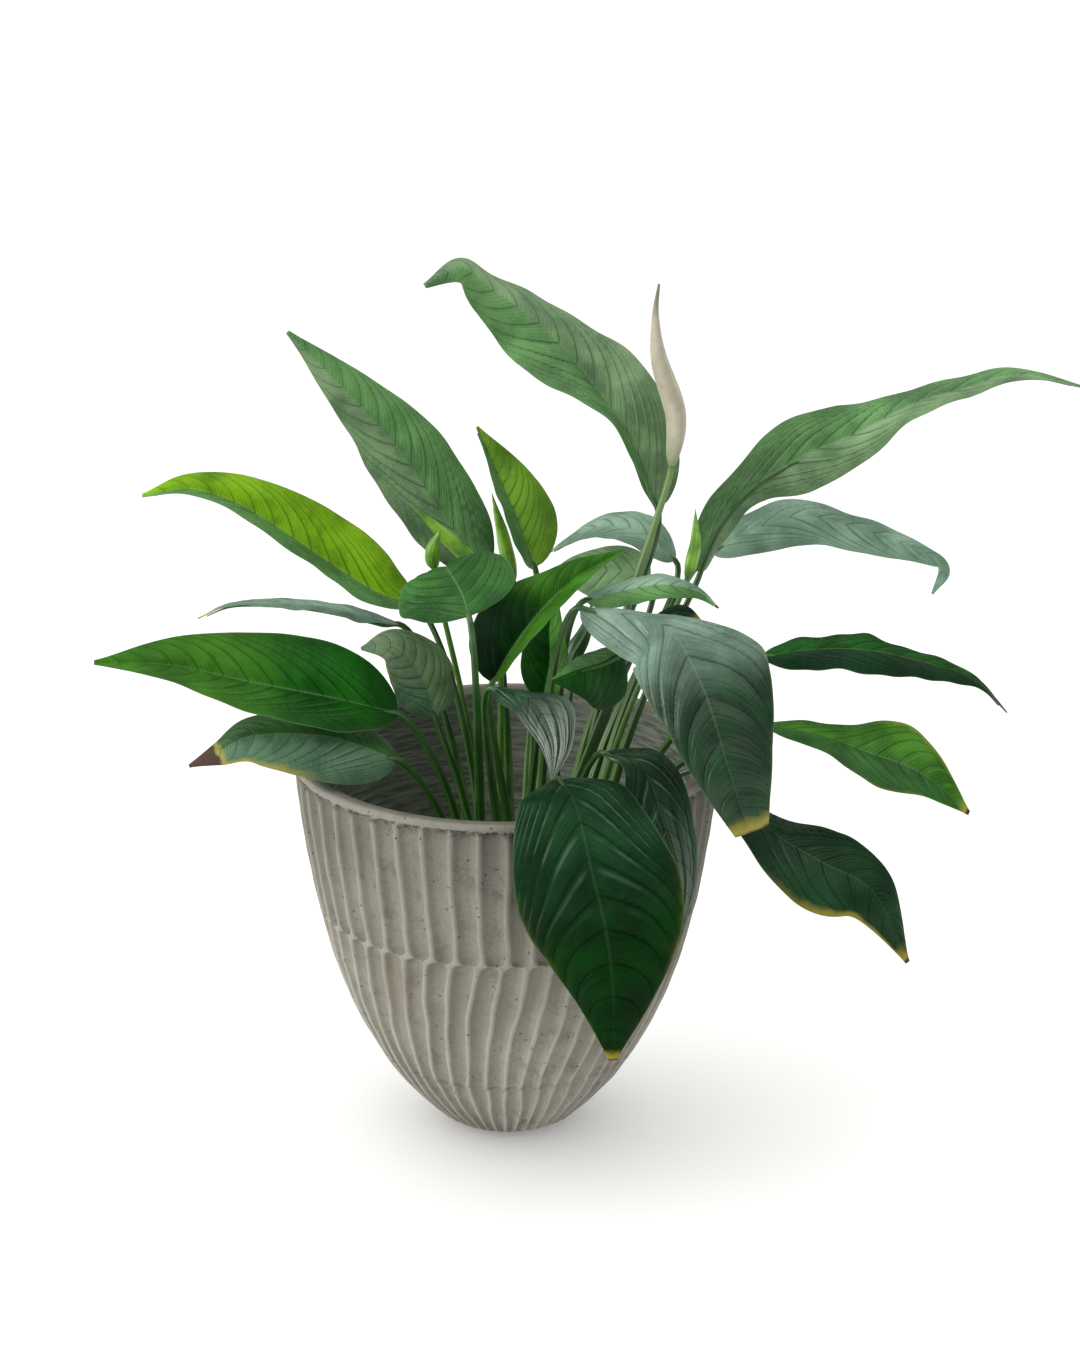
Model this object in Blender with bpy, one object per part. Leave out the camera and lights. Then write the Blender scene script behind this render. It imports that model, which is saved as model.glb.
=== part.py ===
"""Potted peace lily: fluted cement pot, potting soil, leaves on their stalks and one closed flower.

Lengths are metres, +Z is up, the pot stands on Z = 0 and its axis is the Z axis.
The plant plan is drawn in millimetres from the middle of the pot rim: x right, y back, z up.
"""
import bpy
import numpy as np

MM = 0.001

# Pot: the sizes that everything else follows.
RIM_RADIUS = 0.150
POT_HEIGHT = 0.280
WALL = 0.011
FLOOR_THICKNESS = 0.014
RIM_BAND = 0.007
FLUTES = 48
FLUTE_DEPTH = 0.0028
TWIST_DEGREES = -8.0
TIER_OFFSET_DEGREES = -1.7
TIER_1_END = 0.615
TIER_2_END = 0.22
FLUTE_END = 0.02
INNER_SHARES = (0.15, 0.35, 0.6, 1.0)
INNER_FOOT_ROUNDING = 0.03
DRAIN_HOLES = 3
DRAIN_RADIUS = 0.005
DRAIN_RING = 0.019

# Outer outline of the pot as (share of height, share of rim radius).
POT_OUTLINE = [
    (0.0, 0.233), (0.025, 0.333), (0.08, 0.437), (0.157, 0.56), (0.257, 0.67), (0.37, 0.77),
    (0.5, 0.85), (0.643, 0.913), (0.786, 0.957), (0.91, 0.987), (1.0, 1.0),
]

# Soil and the clearances between touching pieces.
SOIL_BELOW_RIM = 0.100
GAP = 0.0003
SOIL_SIDE_GAP = 0.0006

# Leaves, stalks and flower. A blade's outline is share^RISE * (1 - share)^FALL, kept open by ENDS.
BLADE_THICKNESS = 0.0012
OUTLINE_RISE = 0.58
OUTLINE_FALL = 1.2
OUTLINE_ENDS = 0.05
STALK_FOOT_RADIUS = 0.0036
STALK_NECK_RADIUS = 0.0021
END_LENGTH = 0.002
STALK_RISE = 0.42
STALK_BEND = 0.10
YOUNG_FOOT_RADIUS = 0.0026
YOUNG_NECK_RADIUS = 0.0018
FLOWER_STALK_RADIUS = 0.0028
FLOWER_NECK_RADIUS = 0.0022
SPATHE_RADIUS = 0.0078
SPATHE_THICKNESS = 0.0011
SPATHE_SLIT_DEGREES = 50.0
SPADIX_RADIUS = 0.0034

# What hangs over the rim keeps its place when the pot gets wider or narrower.
PLAN_RIM_RADIUS = 0.150
SPREAD = RIM_RADIUS / PLAN_RIM_RADIUS
SOIL_TOP = POT_HEIGHT - SOIL_BELOW_RIM

# Each leaf: its foot on the soil (x, y), its midrib from neck to tip, and its two halves as
# (share of the length, left reach, degrees it rises, right reach, degrees it rises), with left
# and right as seen looking out along the midrib. Two entries make a leaf that twists.
LEAVES = {
    "top_back": dict(
        foot=(40, 8),
        path=[(105, 20, 170), (85, 25, 220), (60, 35, 255), (25, 40, 295), (-10, 45, 320),
              (-30, 40, 335), (-55, 30, 325)],
        halves=[(0.25, 38, 10, 36, 70), (0.68, 46, -50, 40, 10)],
    ),
    "upper_left": dict(
        foot=(2, 20),
        path=[(-15, 20, 125), (-45, 30, 165), (-75, 35, 210), (-115, 40, 255), (-150, 45, 290)],
        halves=[(0.4, 33, -30, 32, 50)],
    ),
    "lime_left": dict(
        foot=(-17, 0),
        path=[(-65, -5, 110), (-90, -10, 120), (-125, -15, 145), (-155, -25, 170),
              (-185, -30, 190), (-215, -35, 200), (-245, -35, 195)],
        halves=[(0.33, 35, -5, 33, 65)],
    ),
    "thin_left": dict(
        foot=(-26, 8),
        path=[(-75, 10, 90), (-115, 10, 100), (-150, 10, 105), (-190, 10, 105), (-215, 10, 95)],
        halves=[(0.42, 31, 10, 29, -10)],
    ),
    "wide_left": dict(
        foot=(-28, -18),
        path=[(-75, -50, 45), (-120, -60, 60), (-175, -70, 75), (-225, -80, 90), (-275, -90, 95)],
        halves=[(0.42, 33, -25, 39, 60)],
    ),
    "low_left": dict(
        foot=(-32, -30),
        path=[(-75, -60, 15), (-120, -70, 35), (-170, -80, 40), (-195, -85, 30),
              (-215, -85, 20)],
        halves=[(0.5, 32, -60, 29, 20)],
    ),
    "upright_left": dict(
        foot=(14, 24),
        path=[(20, 30, 125), (10, 30, 155), (-5, 35, 190), (-20, 35, 225)],
        halves=[(0.4, 28, -10, 28, 70)],
    ),
    "middle_left": dict(
        foot=(-19, -28),
        path=[(-25, -85, 125), (-30, -65, 135), (-40, -40, 145), (-40, -25, 140),
              (-40, -20, 125)],
        halves=[(0.3, 44, -20, 38, 20)],
    ),
    "folded_centre": dict(
        foot=(4, -20),
        path=[(-10, -45, 65), (5, -40, 90), (25, -35, 115), (50, -25, 135), (80, -15, 150)],
        halves=[(0.25, 39, 95, 32, 15), (0.65, 23, 65, 36, 10)],
    ),
    "pale_back": dict(
        foot=(50, 32),
        path=[(120, 65, 120), (95, 70, 140), (65, 80, 140), (30, 85, 120)],
        halves=[(0.45, 22, -15, 25, 15)],
    ),
    "centre_back": dict(
        foot=(42, 20),
        path=[(100, 30, 115), (85, 35, 120), (65, 40, 120), (45, 40, 120), (30, 40, 115)],
        halves=[(0.4, 32, -35, 18, 60)],
    ),
    "inner_upright": dict(
        foot=(13, -11),
        path=[(25, -20, 45), (30, -15, 70), (30, -10, 95), (35, 0, 120)],
        halves=[(0.4, 21, 55, 17, 0)],
    ),
    "inner_right": dict(
        foot=(32, -20),
        path=[(80, -20, 80), (65, -30, 75), (50, -45, 75), (30, -55, 70)],
        halves=[(0.45, 34, -80, 14, 10)],
    ),
    "hooked_small": dict(
        foot=(34, 0),
        path=[(55, -15, 115), (90, -20, 125), (110, -30, 130), (130, -30, 125), (145, -35, 115)],
        halves=[(0.55, 14, 15, 17, -25)],
    ),
    "curled_dark": dict(
        foot=(40, -11),
        path=[(95, -10, 85), (105, -20, 100), (120, -30, 110), (135, -40, 105)],
        halves=[(0.5, 10, 45, 13, -75)],
    ),
    "big_front_right": dict(
        foot=(22, -29),
        path=[(50, -50, 120), (85, -70, 120), (110, -90, 115), (130, -125, 85), (145, -145, 40),
              (160, -150, -5)],
        halves=[(0.18, 28, -15, 34, -65), (0.52, 51, 30, 38, -40)],
    ),
    "long_right": dict(
        foot=(67, 12),
        path=[(135, 15, 125), (145, 20, 155), (170, 20, 185), (205, 30, 205), (240, 30, 220),
              (280, 35, 240), (315, 40, 250), (355, 40, 260), (405, 40, 250)],
        halves=[(0.16, 27, 100, 27, -115), (0.6, 27, -5, 24, 5)],
    ),
    "pale_right": dict(
        foot=(61, 24),
        path=[(145, 50, 130), (170, 50, 145), (210, 55, 155), (250, 55, 145), (295, 50, 130),
              (310, 45, 120), (300, 30, 105)],
        halves=[(0.34, 30, 10, 23, -50)],
    ),
    "middle_right": dict(
        foot=(73, 2),
        path=[(180, 10, 65), (210, 10, 70), (250, 10, 70), (290, 15, 60), (330, 20, 45),
              (355, 20, 20)],
        halves=[(0.38, 26, 5, 30, -15)],
    ),
    "green_right": dict(
        foot=(63, -9),
        path=[(180, -35, 30), (215, -40, 25), (245, -45, 15), (285, -50, 0), (320, -50, -30)],
        halves=[(0.2, 19, 5, 24, -5), (0.65, 42, 40, 37, -25)],
    ),
    "low_right": dict(
        foot=(54, -21),
        path=[(140, -70, 10), (180, -80, -30), (215, -90, -50), (250, -95, -70),
              (275, -100, -120)],
        halves=[(0.2, 20, 0, 23, -30), (0.6, 35, 35, 42, -55)],
    ),
    "big_front": dict(
        foot=(14, -42),
        path=[(35, -115, 20), (45, -150, 15), (55, -180, -20), (65, -180, -65),
              (70, -175, -115), (70, -170, -160)],
        halves=[(0.15, 46, 5, 46, -5), (0.7, 71, 5, 64, -35)],
    ),
    "silver_front": dict(
        foot=(-4, -35),
        path=[(-10, -85, 75), (10, -100, 75), (20, -110, 70), (30, -125, 50), (30, -130, 25)],
        halves=[(0.22, 19, -15, 13, -45), (0.6, 27, 25, 16, -30)],
    ),
    "dark_front": dict(
        foot=(36, -38),
        path=[(65, -90, 30), (90, -120, 30), (105, -140, -5), (115, -140, -45),
              (115, -135, -90)],
        halves=[(0.15, 22, 10, 14, 10), (0.5, 24, 10, 27, -65)],
    ),
    "veined_left": dict(
        foot=(-20, -9),
        path=[(-50, -15, 30), (-55, -15, 50), (-65, -20, 70), (-80, -25, 85), (-100, -30, 85)],
        halves=[(0.42, 24, -55, 25, 55)],
    ),
}

# Leaves still rolled up: foot, the way up from where the roll starts to its tip, and its radius.
YOUNG_LEAVES = {
    "young_left_back": dict(
        foot=(-6, 8), path=[(-15, 0, 130), (-35, 0, 150), (-50, 0, 165), (-65, -5, 180)],
        radius=6),
    "young_left": dict(
        foot=(-16, 19), path=[(-50, -5, 135), (-50, -10, 150), (-45, -15, 165)],
        radius=6),
    "young_middle": dict(
        foot=(24, 34), path=[(5, 45, 110), (0, 45, 135), (-10, 45, 175)], radius=6),
    "young_right": dict(
        foot=(58, 2), path=[(125, 0, 125), (130, 0, 150), (130, 0, 175)],
        radius=5),
    "young_centre": dict(
        foot=(26, 9), path=[(45, 5, 45), (45, 10, 65), (55, 10, 85), (60, 15, 105)],
        radius=8),
}

# Flower: foot, and the bud from its base to its drawn-out tip.
FLOWER_FOOT = (47, -2)
FLOWER_PATH = [(113, 0, 205), (116, 0, 240), (104, -2, 280), (101, -2, 310), (103, -2, 332)]

# Mesh fineness.
POT_COLUMNS = 2 * FLUTES
SOIL_COLUMNS = 48
DRAIN_SIDES = 12
SPAN_SAMPLES = 24
FINE_SAMPLES = 100
BLADE_ROWS = 12
BLADE_COLUMNS = 4
STALK_POINTS = 7
ROLL_POINTS = 7
ROD_RESOLUTION = 1
SPATHE_RINGS = 10
SPATHE_SIDES = 10

# The spadix fills this part of the bud, counted in FINE_SAMPLES.
SPADIX_START = 10
SPADIX_END = 52

COLOURS = {
    "cement": (0.50, 0.48, 0.44, 1.0),
    "soil": (0.05, 0.035, 0.025, 1.0),
    "blade": (0.04, 0.16, 0.04, 1.0),
    "stalk": (0.12, 0.27, 0.06, 1.0),
    "young": (0.22, 0.42, 0.07, 1.0),
    "spathe": (0.62, 0.58, 0.46, 1.0),
    "spadix": (0.70, 0.66, 0.42, 1.0),
}


def clear_scene():
    for item in list(bpy.data.objects):
        bpy.data.objects.remove(item, do_unlink=True)


def plain_material(name, colour, roughness):
    material = bpy.data.materials.new(name)
    material.use_nodes = True
    shader = material.node_tree.nodes["Principled BSDF"]
    shader.inputs["Base Color"].default_value = COLOURS[colour]
    shader.inputs["Roughness"].default_value = roughness
    shader.inputs["Metallic"].default_value = 0.0
    return material


def add_piece(name, vertices, faces, colour, roughness, smooth=True):
    """One named mesh object with a plain material of its own."""
    mesh = bpy.data.meshes.new(name)
    mesh.from_pydata([tuple(v) for v in vertices], [], faces)
    mesh.update()
    mesh.polygons.foreach_set("use_smooth", [smooth] * len(mesh.polygons))
    mesh.materials.append(plain_material(name, colour, roughness))
    piece = bpy.data.objects.new(name, mesh)
    bpy.context.scene.collection.objects.link(piece)
    return piece


def from_plan(points):
    """Plan millimetres from the rim centre to metres from the foot of the pot."""
    placed = np.array(points, dtype=float) * MM
    placed[:, :2] *= SPREAD
    placed[:, 2] += POT_HEIGHT
    return placed


def unit(vectors):
    return vectors / np.linalg.norm(vectors, axis=-1, keepdims=True)


def curve_through(points, count):
    """A smooth curve through the points, sampled at count + 1 places evenly spaced along it."""
    ends = np.vstack([2 * points[0] - points[1], points, 2 * points[-1] - points[-2]])
    share = np.linspace(0, 1, SPAN_SAMPLES, endpoint=False)[:, None]
    pieces = []
    for a, b, c, d in zip(ends, ends[1:], ends[2:], ends[3:]):
        straight = 2 * b + (c - a) * share
        bend = (2 * a - 5 * b + 4 * c - d) * share ** 2
        swing = (3 * b - a - 3 * c + d) * share ** 3
        pieces.append((straight + bend + swing) / 2)
    fine = np.vstack(pieces + [points[-1:]])
    return evenly(fine, count)


def evenly(fine, count):
    """The same line sampled at count + 1 places evenly spaced along its length."""
    lengths = np.linalg.norm(np.diff(fine, axis=0), axis=1)
    travelled = np.concatenate([[0], np.cumsum(lengths)])
    wanted = np.linspace(0, travelled[-1], count + 1)
    return np.stack([np.interp(wanted, travelled, fine[:, k]) for k in range(3)], axis=1)


def travelling_frames(line):
    """Unit vectors to the right of the line and above it, at each place, that do not spin."""
    forward = unit(np.gradient(line, axis=0))
    right = np.cross(forward[0], (0.0, 0.0, 1.0))
    rights = []
    for ahead in forward:
        right = unit(right - (right @ ahead) * ahead)
        rights.append(right)
    rights = np.array(rights)
    return rights, np.cross(rights, forward)


def leaf_outline(share):
    """Share of the full width along a blade: narrow neck, widest at a third, drawn-out tip."""
    peak = OUTLINE_RISE / (OUTLINE_RISE + OUTLINE_FALL)
    highest = peak ** OUTLINE_RISE * (1 - peak) ** OUTLINE_FALL
    swell = share ** OUTLINE_RISE * (1 - share) ** OUTLINE_FALL / highest
    return OUTLINE_ENDS + (1 - OUTLINE_ENDS) * swell


def half_vectors(line, halves):
    """Vectors from the midrib to the left and right edges, at full width, along the whole blade."""
    right, up = travelling_frames(line)
    first, final = np.array(halves[0]), np.array(halves[-1])
    share = np.linspace(0, 1, len(line))
    span = max(final[0] - first[0], 0.01)
    blend = np.clip((share - first[0]) / span, 0, 1)
    blend = (blend * blend * (3 - 2 * blend))[:, None]
    mixed = (1 - blend) * first + blend * final
    reach = mixed[:, [1, 3]] * MM * SPREAD
    rise = np.radians(mixed[:, [2, 4]])
    level = reach * np.cos(rise)
    height = reach * np.sin(rise)
    left = -level[:, :1] * right + height[:, :1] * up
    return left, level[:, 1:] * right + height[:, 1:] * up


def add_sheet(name, grid, thickness, colour, roughness):
    """A smooth sheet through a grid of points, given its thickness evenly to both sides."""
    rows, columns = grid.shape[:2]
    number = np.arange(rows * columns).reshape(rows, columns)
    corners = (number[:-1, :-1], number[1:, :-1], number[1:, 1:], number[:-1, 1:])
    faces = np.stack(corners, axis=-1).reshape(-1, 4).tolist()
    sheet = add_piece(name, grid.reshape(-1, 3), faces, colour, roughness)
    solid = sheet.modifiers.new("thickness", "SOLIDIFY")
    solid.thickness = thickness
    solid.offset = 0.0
    return sheet


def blade_grid(leaf):
    """Rows along the midrib, columns from the left edge over the midrib to the right edge."""
    line = curve_through(from_plan(leaf["path"]), BLADE_ROWS)
    left, right = half_vectors(line, leaf["halves"])
    outline = leaf_outline(np.linspace(0, 1, BLADE_ROWS + 1))[:, None, None]
    across = np.linspace(-1, 1, BLADE_COLUMNS + 1)[None, :, None]
    reach = np.where(across < 0, -across * left[:, None], across * right[:, None])
    return line[:, None] + outline * reach


def add_rod(name, line, radii, colour, roughness):
    """A round rod along the line, with its own radius at each point and flat ends."""
    curve = bpy.data.curves.new(name, "CURVE")
    curve.dimensions = "3D"
    curve.bevel_depth = radii[0]
    curve.bevel_resolution = ROD_RESOLUTION
    curve.use_fill_caps = True
    curve.resolution_u = 1
    curve.render_resolution_u = 0
    spline = curve.splines.new("POLY")
    spline.points.add(len(line) - 1)
    spline.points.foreach_set("co", np.column_stack([line, np.ones(len(line))]).ravel())
    spline.points.foreach_set("radius", np.array(radii) / radii[0])
    curve.materials.append(plain_material(name, colour, roughness))
    rod = bpy.data.objects.new(name, curve)
    bpy.context.scene.collection.objects.link(rod)
    return rod


def stalk_line(foot, neck, heading):
    """From the soil straight up at first, then arching over to meet the neck on its heading."""
    start = np.array([foot[0] * MM * SPREAD, foot[1] * MM * SPREAD, SOIL_TOP + GAP])
    distance = np.linalg.norm(neck - start)
    lift = start + np.array([0, 0, STALK_RISE * distance])
    approach = neck - heading * STALK_BEND * distance
    share = np.linspace(0, 1, FINE_SAMPLES)[:, None]
    back = 1 - share
    fine = back ** 3 * start + 3 * back ** 2 * share * lift
    fine = fine + 3 * back * share ** 2 * approach + share ** 3 * neck
    line = evenly(fine, STALK_POINTS)
    sole = start + np.array([0, 0, END_LENGTH])
    collar = neck - heading * END_LENGTH
    return np.vstack([line[:1], sole, line[1:-1], collar, line[-1:]])


def outline_radius(height_share):
    heights, radii = zip(*POT_OUTLINE)
    return RIM_RADIUS * np.interp(height_share, heights, radii)


def inner_outline():
    """Heights and radii of the inside of the pot, from its floor to the rim."""
    floor_share = FLOOR_THICKNESS / POT_HEIGHT + INNER_FOOT_ROUNDING
    levels = [(FLOOR_THICKNESS, outline_radius(floor_share) - WALL)]
    levels += [(share * POT_HEIGHT, outline_radius(share) - WALL) for share in INNER_SHARES]
    return levels


def pot_rings():
    """Rings from the outer foot up, over the rim and down to the inner floor.

    Each ring is (height, radius, share of the flute depth, degrees turned). The lower two tiers
    are listed as (share of height, share of flute depth, share of twist), and the top tier is
    straight.
    """
    band = 1 - RIM_BAND / POT_HEIGHT
    lower = [(0.0, 0.0, 0.0), (0.025, 0.4, 0.0), (0.11, 1.0, 0.0),
             (TIER_2_END - FLUTE_END, 1.0, 0.0), (TIER_2_END, 0.0, 0.5),
             (TIER_2_END + FLUTE_END, 1.0, 1.0), (0.35, 1.0, 0.7), (0.5, 1.0, 0.25),
             (TIER_1_END - FLUTE_END, 1.0, 0.0)]
    upper = [(TIER_1_END, 0.0), (TIER_1_END + FLUTE_END, 1.0), (0.8, 1.0),
             (band - FLUTE_END, 1.0), (band, 0.0), (1.0, 0.0)]
    rings = []
    for height, depth, twist in lower:
        turn = TIER_OFFSET_DEGREES + twist * TWIST_DEGREES
        rings.append((height * POT_HEIGHT, outline_radius(height), depth, turn))
    for height, depth in upper:
        rings.append((height * POT_HEIGHT, outline_radius(height), depth, 0.0))
    for height, radius in reversed(inner_outline()):
        rings.append((height, radius, 0.0, 0.0))
    return rings


def build_pot():
    turn = 2 * np.pi * np.arange(POT_COLUMNS) / POT_COLUMNS
    groove = (np.arange(POT_COLUMNS) % 2) * FLUTE_DEPTH
    rings = pot_rings()
    vertices = []
    for height, radius, depth, twist in rings:
        reach = radius - depth * groove
        angle = turn + np.radians(twist)
        vertices.append(np.stack([reach * np.cos(angle), reach * np.sin(angle),
                                  np.full(POT_COLUMNS, height)], axis=1))
    faces = [tuple(range(POT_COLUMNS))[::-1]]
    for level in range(len(rings) - 1):
        low, high = level * POT_COLUMNS, (level + 1) * POT_COLUMNS
        for k in range(POT_COLUMNS):
            following = (k + 1) % POT_COLUMNS
            faces.append((low + k, low + following, high + following, high + k))
    faces.append(tuple(range((len(rings) - 1) * POT_COLUMNS, len(rings) * POT_COLUMNS)))
    pot = add_piece("pot", np.vstack(vertices), faces, "cement", 0.85, smooth=False)
    cutter = drain_cutter()
    holes = pot.modifiers.new("drain_holes", "BOOLEAN")
    holes.operation = "DIFFERENCE"
    holes.solver = "EXACT"
    holes.object = cutter


def drain_cutter():
    """Upright cylinders right through the floor of the pot, off its middle."""
    sides = DRAIN_SIDES
    turn = 2 * np.pi * np.arange(sides) / sides
    vertices = []
    faces = []
    for hole in range(DRAIN_HOLES):
        bearing = 2 * np.pi * hole / DRAIN_HOLES
        start = len(vertices)
        for height in (-FLOOR_THICKNESS, 2 * FLOOR_THICKNESS):
            for angle in turn:
                vertices.append((DRAIN_RING * np.cos(bearing) + DRAIN_RADIUS * np.cos(angle),
                                 DRAIN_RING * np.sin(bearing) + DRAIN_RADIUS * np.sin(angle),
                                 height))
        faces.append(tuple(range(start, start + sides))[::-1])
        faces.append(tuple(range(start + sides, start + 2 * sides)))
        for k in range(sides):
            following = (k + 1) % sides
            faces.append((start + k, start + following, start + sides + following,
                          start + sides + k))
    cutter = add_piece("drain_cutter", vertices, faces, "cement", 0.85, smooth=False)
    cutter.hide_render = True
    cutter.display_type = "WIRE"
    return cutter


def build_soil():
    """Fills the pot up to its own level, a hair clear of the wall and the floor."""
    heights, radii = zip(*inner_outline())
    between = [height for height in heights[1:] if height < SOIL_TOP - SOIL_SIDE_GAP]
    levels = [(height, np.interp(height, heights, radii))
              for height in [FLOOR_THICKNESS + GAP] + between + [SOIL_TOP]]
    columns = SOIL_COLUMNS
    turn = 2 * np.pi * np.arange(columns) / columns
    vertices = []
    for height, radius in levels:
        reach = radius - WALL - SOIL_SIDE_GAP
        vertices.append(np.stack([reach * np.cos(turn), reach * np.sin(turn),
                                  np.full(columns, height)], axis=1))
    faces = [tuple(range(columns))[::-1]]
    for level in range(len(levels) - 1):
        low, high = level * columns, (level + 1) * columns
        for k in range(columns):
            following = (k + 1) % columns
            faces.append((low + k, low + following, high + following, high + k))
    faces.append(tuple(range((len(levels) - 1) * columns, len(levels) * columns)))
    add_piece("potting_soil", np.vstack(vertices), faces, "soil", 0.95, smooth=False)


def build_leaves():
    for name, leaf in LEAVES.items():
        add_sheet("blade_" + name, blade_grid(leaf), BLADE_THICKNESS, "blade", 0.45)
        fine = curve_through(from_plan(leaf["path"]), FINE_SAMPLES)
        heading = unit(fine[1] - fine[0])
        line = stalk_line(leaf["foot"], fine[0] - heading * GAP, heading)
        radii = np.linspace(STALK_FOOT_RADIUS, STALK_NECK_RADIUS, len(line))
        add_rod("stalk_" + name, line, radii, "stalk", 0.5)


def build_young_leaves():
    """Each is one piece: a slim stalk that goes over into the rolled blade."""
    for name, leaf in YOUNG_LEAVES.items():
        rolled = curve_through(from_plan(leaf["path"]), ROLL_POINTS)
        stalk = stalk_line(leaf["foot"], rolled[0], unit(rolled[1] - rolled[0]))
        share = np.linspace(0, 1, ROLL_POINTS + 1)
        roll = leaf["radius"] * MM * leaf_outline(share)
        roll = np.maximum(roll, YOUNG_NECK_RADIUS * (1.05 - share))
        radii = np.linspace(YOUNG_FOOT_RADIUS, YOUNG_NECK_RADIUS, len(stalk))
        line = np.vstack([stalk[:-1], rolled])
        add_rod(name + "_leaf", line, np.concatenate([radii[:-1], roll]), "young", 0.5)


def build_flower():
    """One closed flower: stalk, the rolled spathe with its slit at the back, and the spadix."""
    fine = curve_through(from_plan(FLOWER_PATH), FINE_SAMPLES)
    heading = unit(fine[1] - fine[0])
    stalk = stalk_line(FLOWER_FOOT, fine[0] - heading * GAP, heading)
    radii = np.linspace(FLOWER_STALK_RADIUS, FLOWER_NECK_RADIUS, len(stalk))
    add_rod("flower_stalk", stalk, radii, "stalk", 0.5)
    line = evenly(fine, SPATHE_RINGS)
    right, up = travelling_frames(line)
    share = np.linspace(0, 1, SPATHE_RINGS + 1)
    radius = SPATHE_RADIUS * leaf_outline(share) + SPATHE_THICKNESS
    half_slit = np.radians(SPATHE_SLIT_DEGREES / 2)
    turn = np.linspace(half_slit, 2 * np.pi - half_slit, SPATHE_SIDES + 1)[None, :, None]
    ring = np.cos(turn) * right[:, None] + np.sin(turn) * up[:, None]
    grid = line[:, None] + radius[:, None, None] * ring
    add_sheet("spathe", grid, SPATHE_THICKNESS, "spathe", 0.5)
    core = evenly(fine[SPADIX_START:SPADIX_END], STALK_POINTS)
    swell = SPADIX_RADIUS * np.sin(np.linspace(0.15, 0.9, len(core)) * np.pi)
    add_rod("spadix", core, swell, "spadix", 0.6)


clear_scene()
build_pot()
build_soil()
build_leaves()
build_young_leaves()
build_flower()
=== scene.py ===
"""Looks of the potted peace lily: carved cement pot, crumbly soil, veined leaves and one flower.

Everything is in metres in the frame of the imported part: the pot stands on Z = 0, its axis is the
Z axis, X runs to the right and Y to the back.
"""
import math

import bmesh
import bpy
import numpy as np
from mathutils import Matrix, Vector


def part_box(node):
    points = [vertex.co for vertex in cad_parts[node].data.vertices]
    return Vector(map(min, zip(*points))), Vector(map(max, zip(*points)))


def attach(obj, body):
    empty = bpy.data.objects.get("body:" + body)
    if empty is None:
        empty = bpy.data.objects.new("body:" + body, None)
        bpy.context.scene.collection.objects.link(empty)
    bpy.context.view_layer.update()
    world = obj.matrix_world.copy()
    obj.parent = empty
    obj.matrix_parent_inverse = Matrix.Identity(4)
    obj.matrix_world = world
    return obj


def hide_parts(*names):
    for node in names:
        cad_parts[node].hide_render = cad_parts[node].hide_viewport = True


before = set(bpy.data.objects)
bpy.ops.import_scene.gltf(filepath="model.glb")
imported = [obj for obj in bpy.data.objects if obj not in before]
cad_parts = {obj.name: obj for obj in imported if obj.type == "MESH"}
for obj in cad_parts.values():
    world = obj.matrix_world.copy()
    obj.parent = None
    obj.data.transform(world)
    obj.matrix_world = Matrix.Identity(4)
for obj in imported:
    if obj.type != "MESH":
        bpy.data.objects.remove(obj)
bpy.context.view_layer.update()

MM = 0.001

# Pot: its outline is the solid's; the rim band is narrower and the flutes are cut deeper.
RIM_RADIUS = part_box("pot")[1][0]
POT_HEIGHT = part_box("pot")[1][2]
WALL = 0.011
FLOOR_THICKNESS = 0.014
RIM_BAND = 0.0048
FLUTES = 48
FLUTE_DEPTH = 0.0028
FLUTE_SHARE = 0.88
TIER_LAP = 0.0004
TWIST_DEGREES = -8.0
TIER_OFFSET_DEGREES = -1.7
TIER_1_END = 0.615
TIER_2_END = 0.22
DRAIN_HOLES = 3
DRAIN_RADIUS = 0.005
DRAIN_RING = 0.019
DRAIN_SIDES = 24
FLOOR_REACH = 0.052
POT_OUTLINE = [
    (0.0, 0.233), (0.025, 0.333), (0.08, 0.437), (0.157, 0.56), (0.257, 0.67), (0.37, 0.77),
    (0.5, 0.85), (0.643, 0.913), (0.786, 0.957), (0.91, 0.987), (1.0, 1.0),
]
SOIL_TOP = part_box("potting_soil")[1][2]
CRUMBS = 900
CRUMB_ROWS = 5
CRUMB_SIDES = 7
CRUMB_SEED = 7

# Plant: stalks, then blades and their outlines, then the hood of the flower.
STALK_FOOT_RADIUS = 0.0036
STALK_NECK_RADIUS = 0.0021
STALK_RISE = 0.42
STALK_BEND = 0.10
SHEET_THICKNESS = 0.0007
OUTLINE_RISE = 0.58
OUTLINE_FALL = 1.2
OUTLINE_ENDS = 0.05
VEIN_LEAN = 0.24
FOLD_BLUNT = 0.06
FULL_RELIEF_WIDTH = 0.06
HOOD_THICKNESS = 0.0006
HOOD_TURNS = 1.08
HOOD_START_DEGREES = 205

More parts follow.
